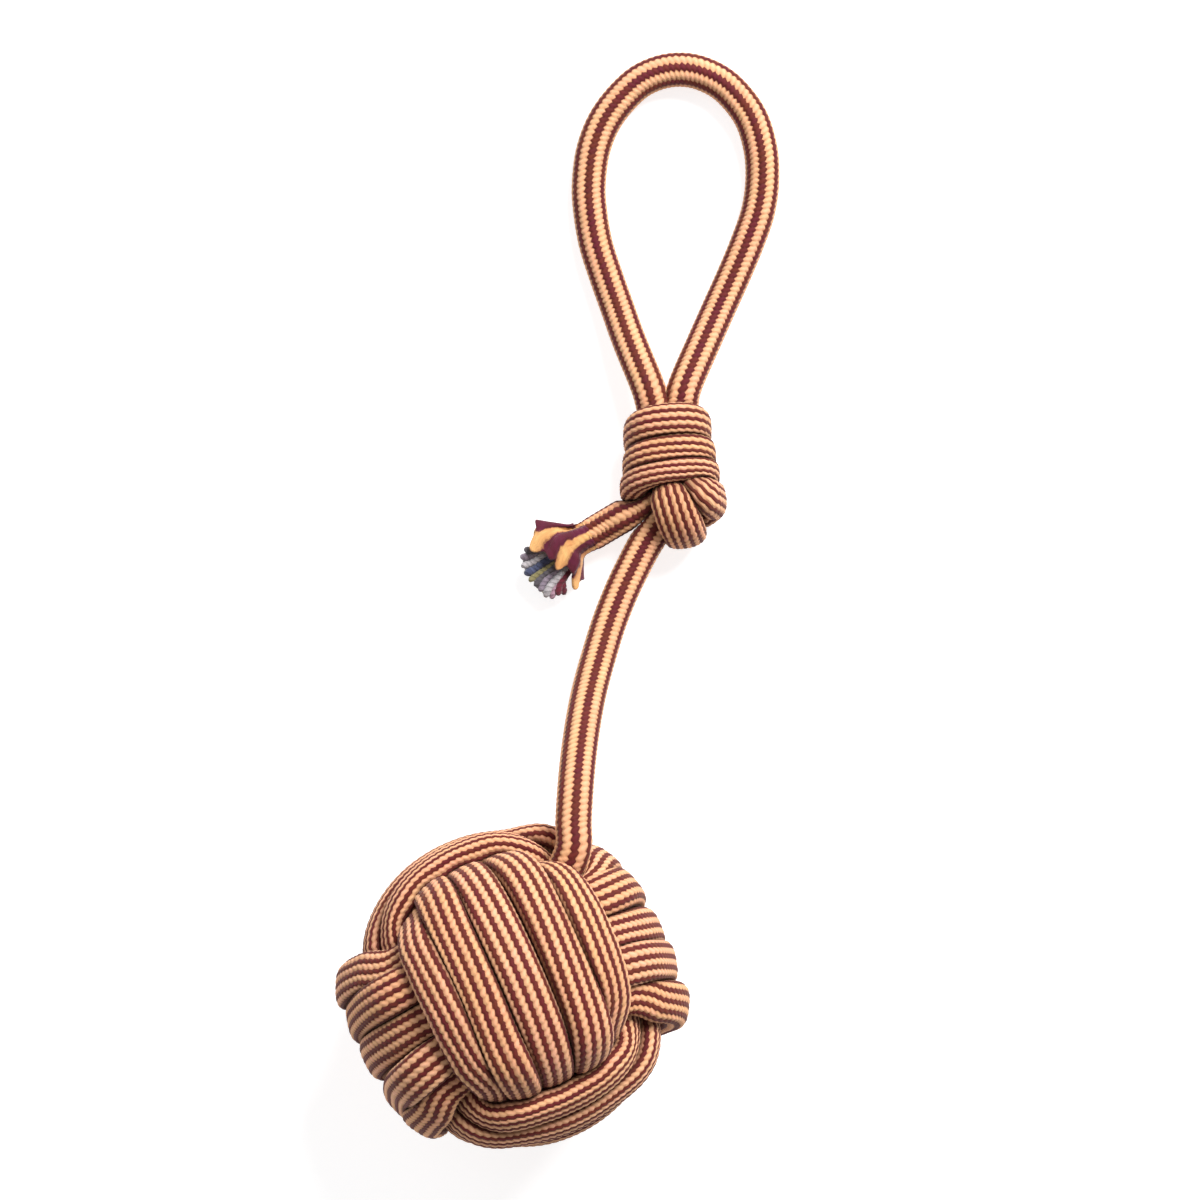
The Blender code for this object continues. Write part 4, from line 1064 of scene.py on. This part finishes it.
        # each yarn's strip goes into its own lane of the bake map
        lane, lanes = k, len(YARNS)
        parts["knit"].append(np.stack([uu + 7.0 * k, vv - 0.215 * uu], 3).reshape(-1, 2))
        bx = np.stack([i, i, i + 1, i + 1], 2) / 33 * 0.96 + 0.002
        by = (lane + 0.05 + vv * 0.9) / lanes
        parts["bake"].append(np.stack([bx, by], 3).reshape(-1, 2))
        for jj in range(sides):
            kk = (jj + 1) % sides
            parts["tris"].append((base + 33 * sides + jj, base + 33 * sides + kk, base + len(verts) - 1))
            parts["knit3"] += [(length + 7.0 * k, 0.5), (length + 7.0 * k, 0.6), (length + 7.0 * k, 0.55)]
            y0 = (lane + 0.05 + 0.9 * jj / sides) / lanes
            parts["bake3"] += [(0.97, y0), (0.97, y0 + 0.7 / sides / lanes), (0.99, y0 + 0.35 / sides / lanes)]
        parts["mat4"] += [names.index(colour)] * (33 * sides)
        parts["mat3"] += [names.index(colour)] * sides
        parts["verts"].append(verts)
        base += len(verts)
    obj = make_mesh("tail_yarns", np.concatenate(parts["verts"]), np.concatenate(parts["quads"]), np.concatenate(parts["knit"]),
                    np.concatenate(parts["bake"]), [yarns[x] for x in names], parts["tris"], parts["knit3"], parts["bake3"],
                    parts["mat4"] + parts["mat3"])
    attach(obj, "tail")
    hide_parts("tail_core_yarns")
    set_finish(obj, "core_yarn")


# --------------------------------------------------------------------- stage
def build_stage():
    bpy.ops.mesh.primitive_plane_add(size=6.0, location=(0, 0, -0.0002))
    floor = bpy.context.object
    floor.name = "floor"
    k = Nodes("pale_floor")
    k.bsdf.inputs["Base Color"].default_value = (0.55, 0.55, 0.56, 1)
    k.bsdf.inputs["Emission Color"].default_value = (1.0, 1.0, 1.0, 1)
    k.bsdf.inputs["Emission Strength"].default_value = 0.76
    k.bsdf.inputs["Roughness"].default_value = 0.85
    k.bsdf.inputs["Specular IOR Level"].default_value = 0.1
    floor.data.materials.append(k.m)

    w = bpy.data.worlds.new("studio")
    bpy.context.scene.world = w
    w.use_nodes = True
    w.node_tree.nodes["Background"].inputs[0].default_value = (1.0, 1.0, 1.0, 1)
    w.node_tree.nodes["Background"].inputs[1].default_value = 0.32

    def area(name, place, target, size, power):
        data = bpy.data.lights.new(name, "AREA")
        data.shape, data.size, data.energy = "DISK", size, power
        o = bpy.data.objects.new(name, data)
        o.location = place
        d = np.asarray(target, float) - np.asarray(place, float)
        o.rotation_euler = Vector(d).to_track_quat("-Z", "Y").to_euler()
        bpy.context.scene.collection.objects.link(o)

    area("key", (0.62, 1.00, 1.25), (0, 0, 0.02), 0.8, 48.0)
    area("fill", (-0.9, 0.9, 1.5), (0, 0, 0.02), 1.4, 5.0)

    data = bpy.data.cameras.new("camera")
    cam = bpy.data.objects.new("camera", data)
    bpy.context.scene.collection.objects.link(cam)
    cam.location = [float(x) for x in (np.array([0, 0, 1000.0]) - ORIGIN) * 0.001]
    data.sensor_width, data.lens = 36.0, 36 / 0.414
    data.clip_start, data.clip_end = 0.01, 20.0
    bpy.context.scene.camera = cam
    s = bpy.context.scene
    s.view_settings.view_transform = "Standard"
    s.view_settings.look = "None"
    s.view_settings.exposure = 0.0


build_stage()
ropes = [
    knit_material("knit_a", 1.0),
    knit_material("knit_b", 17.0, cream=(227, 173, 125), cream2=(224, 161, 127), dark=(95, 23, 28)),
    knit_material("knit_c", 31.0, cream=(231, 178, 135), cream2=(227, 167, 135), dark=(101, 25, 32)),
]
slack = [
    knit_material("knit_slack_a", 53.0, cream=(228, 177, 131), cream2=(224, 165, 128), dark=(94, 22, 33), edge=0.46),
    knit_material("knit_slack_b", 71.0, cream=(229, 178, 133), cream2=(225, 166, 131), dark=(96, 23, 36), edge=0.46),
    knit_material("knit_slack_c", 89.0, cream=(227, 175, 128), cream2=(224, 164, 126), dark=(94, 22, 34), edge=0.46),
]
build_free_ropes(ropes, slack)
build_cut_end(
    open_material("knit_open", 47.0),
    {
        "grey": yarn_material("yarn_grey", (66, 62, 68), (104, 98, 104), 1.0),
        "lilac": yarn_material("yarn_lilac", (116, 104, 118), (152, 138, 150), 2.0),
        "white": yarn_material("yarn_white", (142, 137, 140), (186, 180, 182), 3.0),
        "navy": yarn_material("yarn_navy", (46, 50, 76), (80, 86, 114), 4.0),
        "olive": yarn_material("yarn_olive", (106, 98, 60), (160, 150, 108), 5.0),
        "mauve": yarn_material("yarn_mauve", (138, 104, 120), (176, 142, 156), 6.0),
        "wine": yarn_material("yarn_wine", (74, 16, 32), (112, 38, 52), 7.0),
    },
)
build_ball(ropes)
core = frame["nodes"]["core_ball"]
core.data.materials.clear()
core.data.materials.append(rubber_material())

bpy.context.view_layer.update()
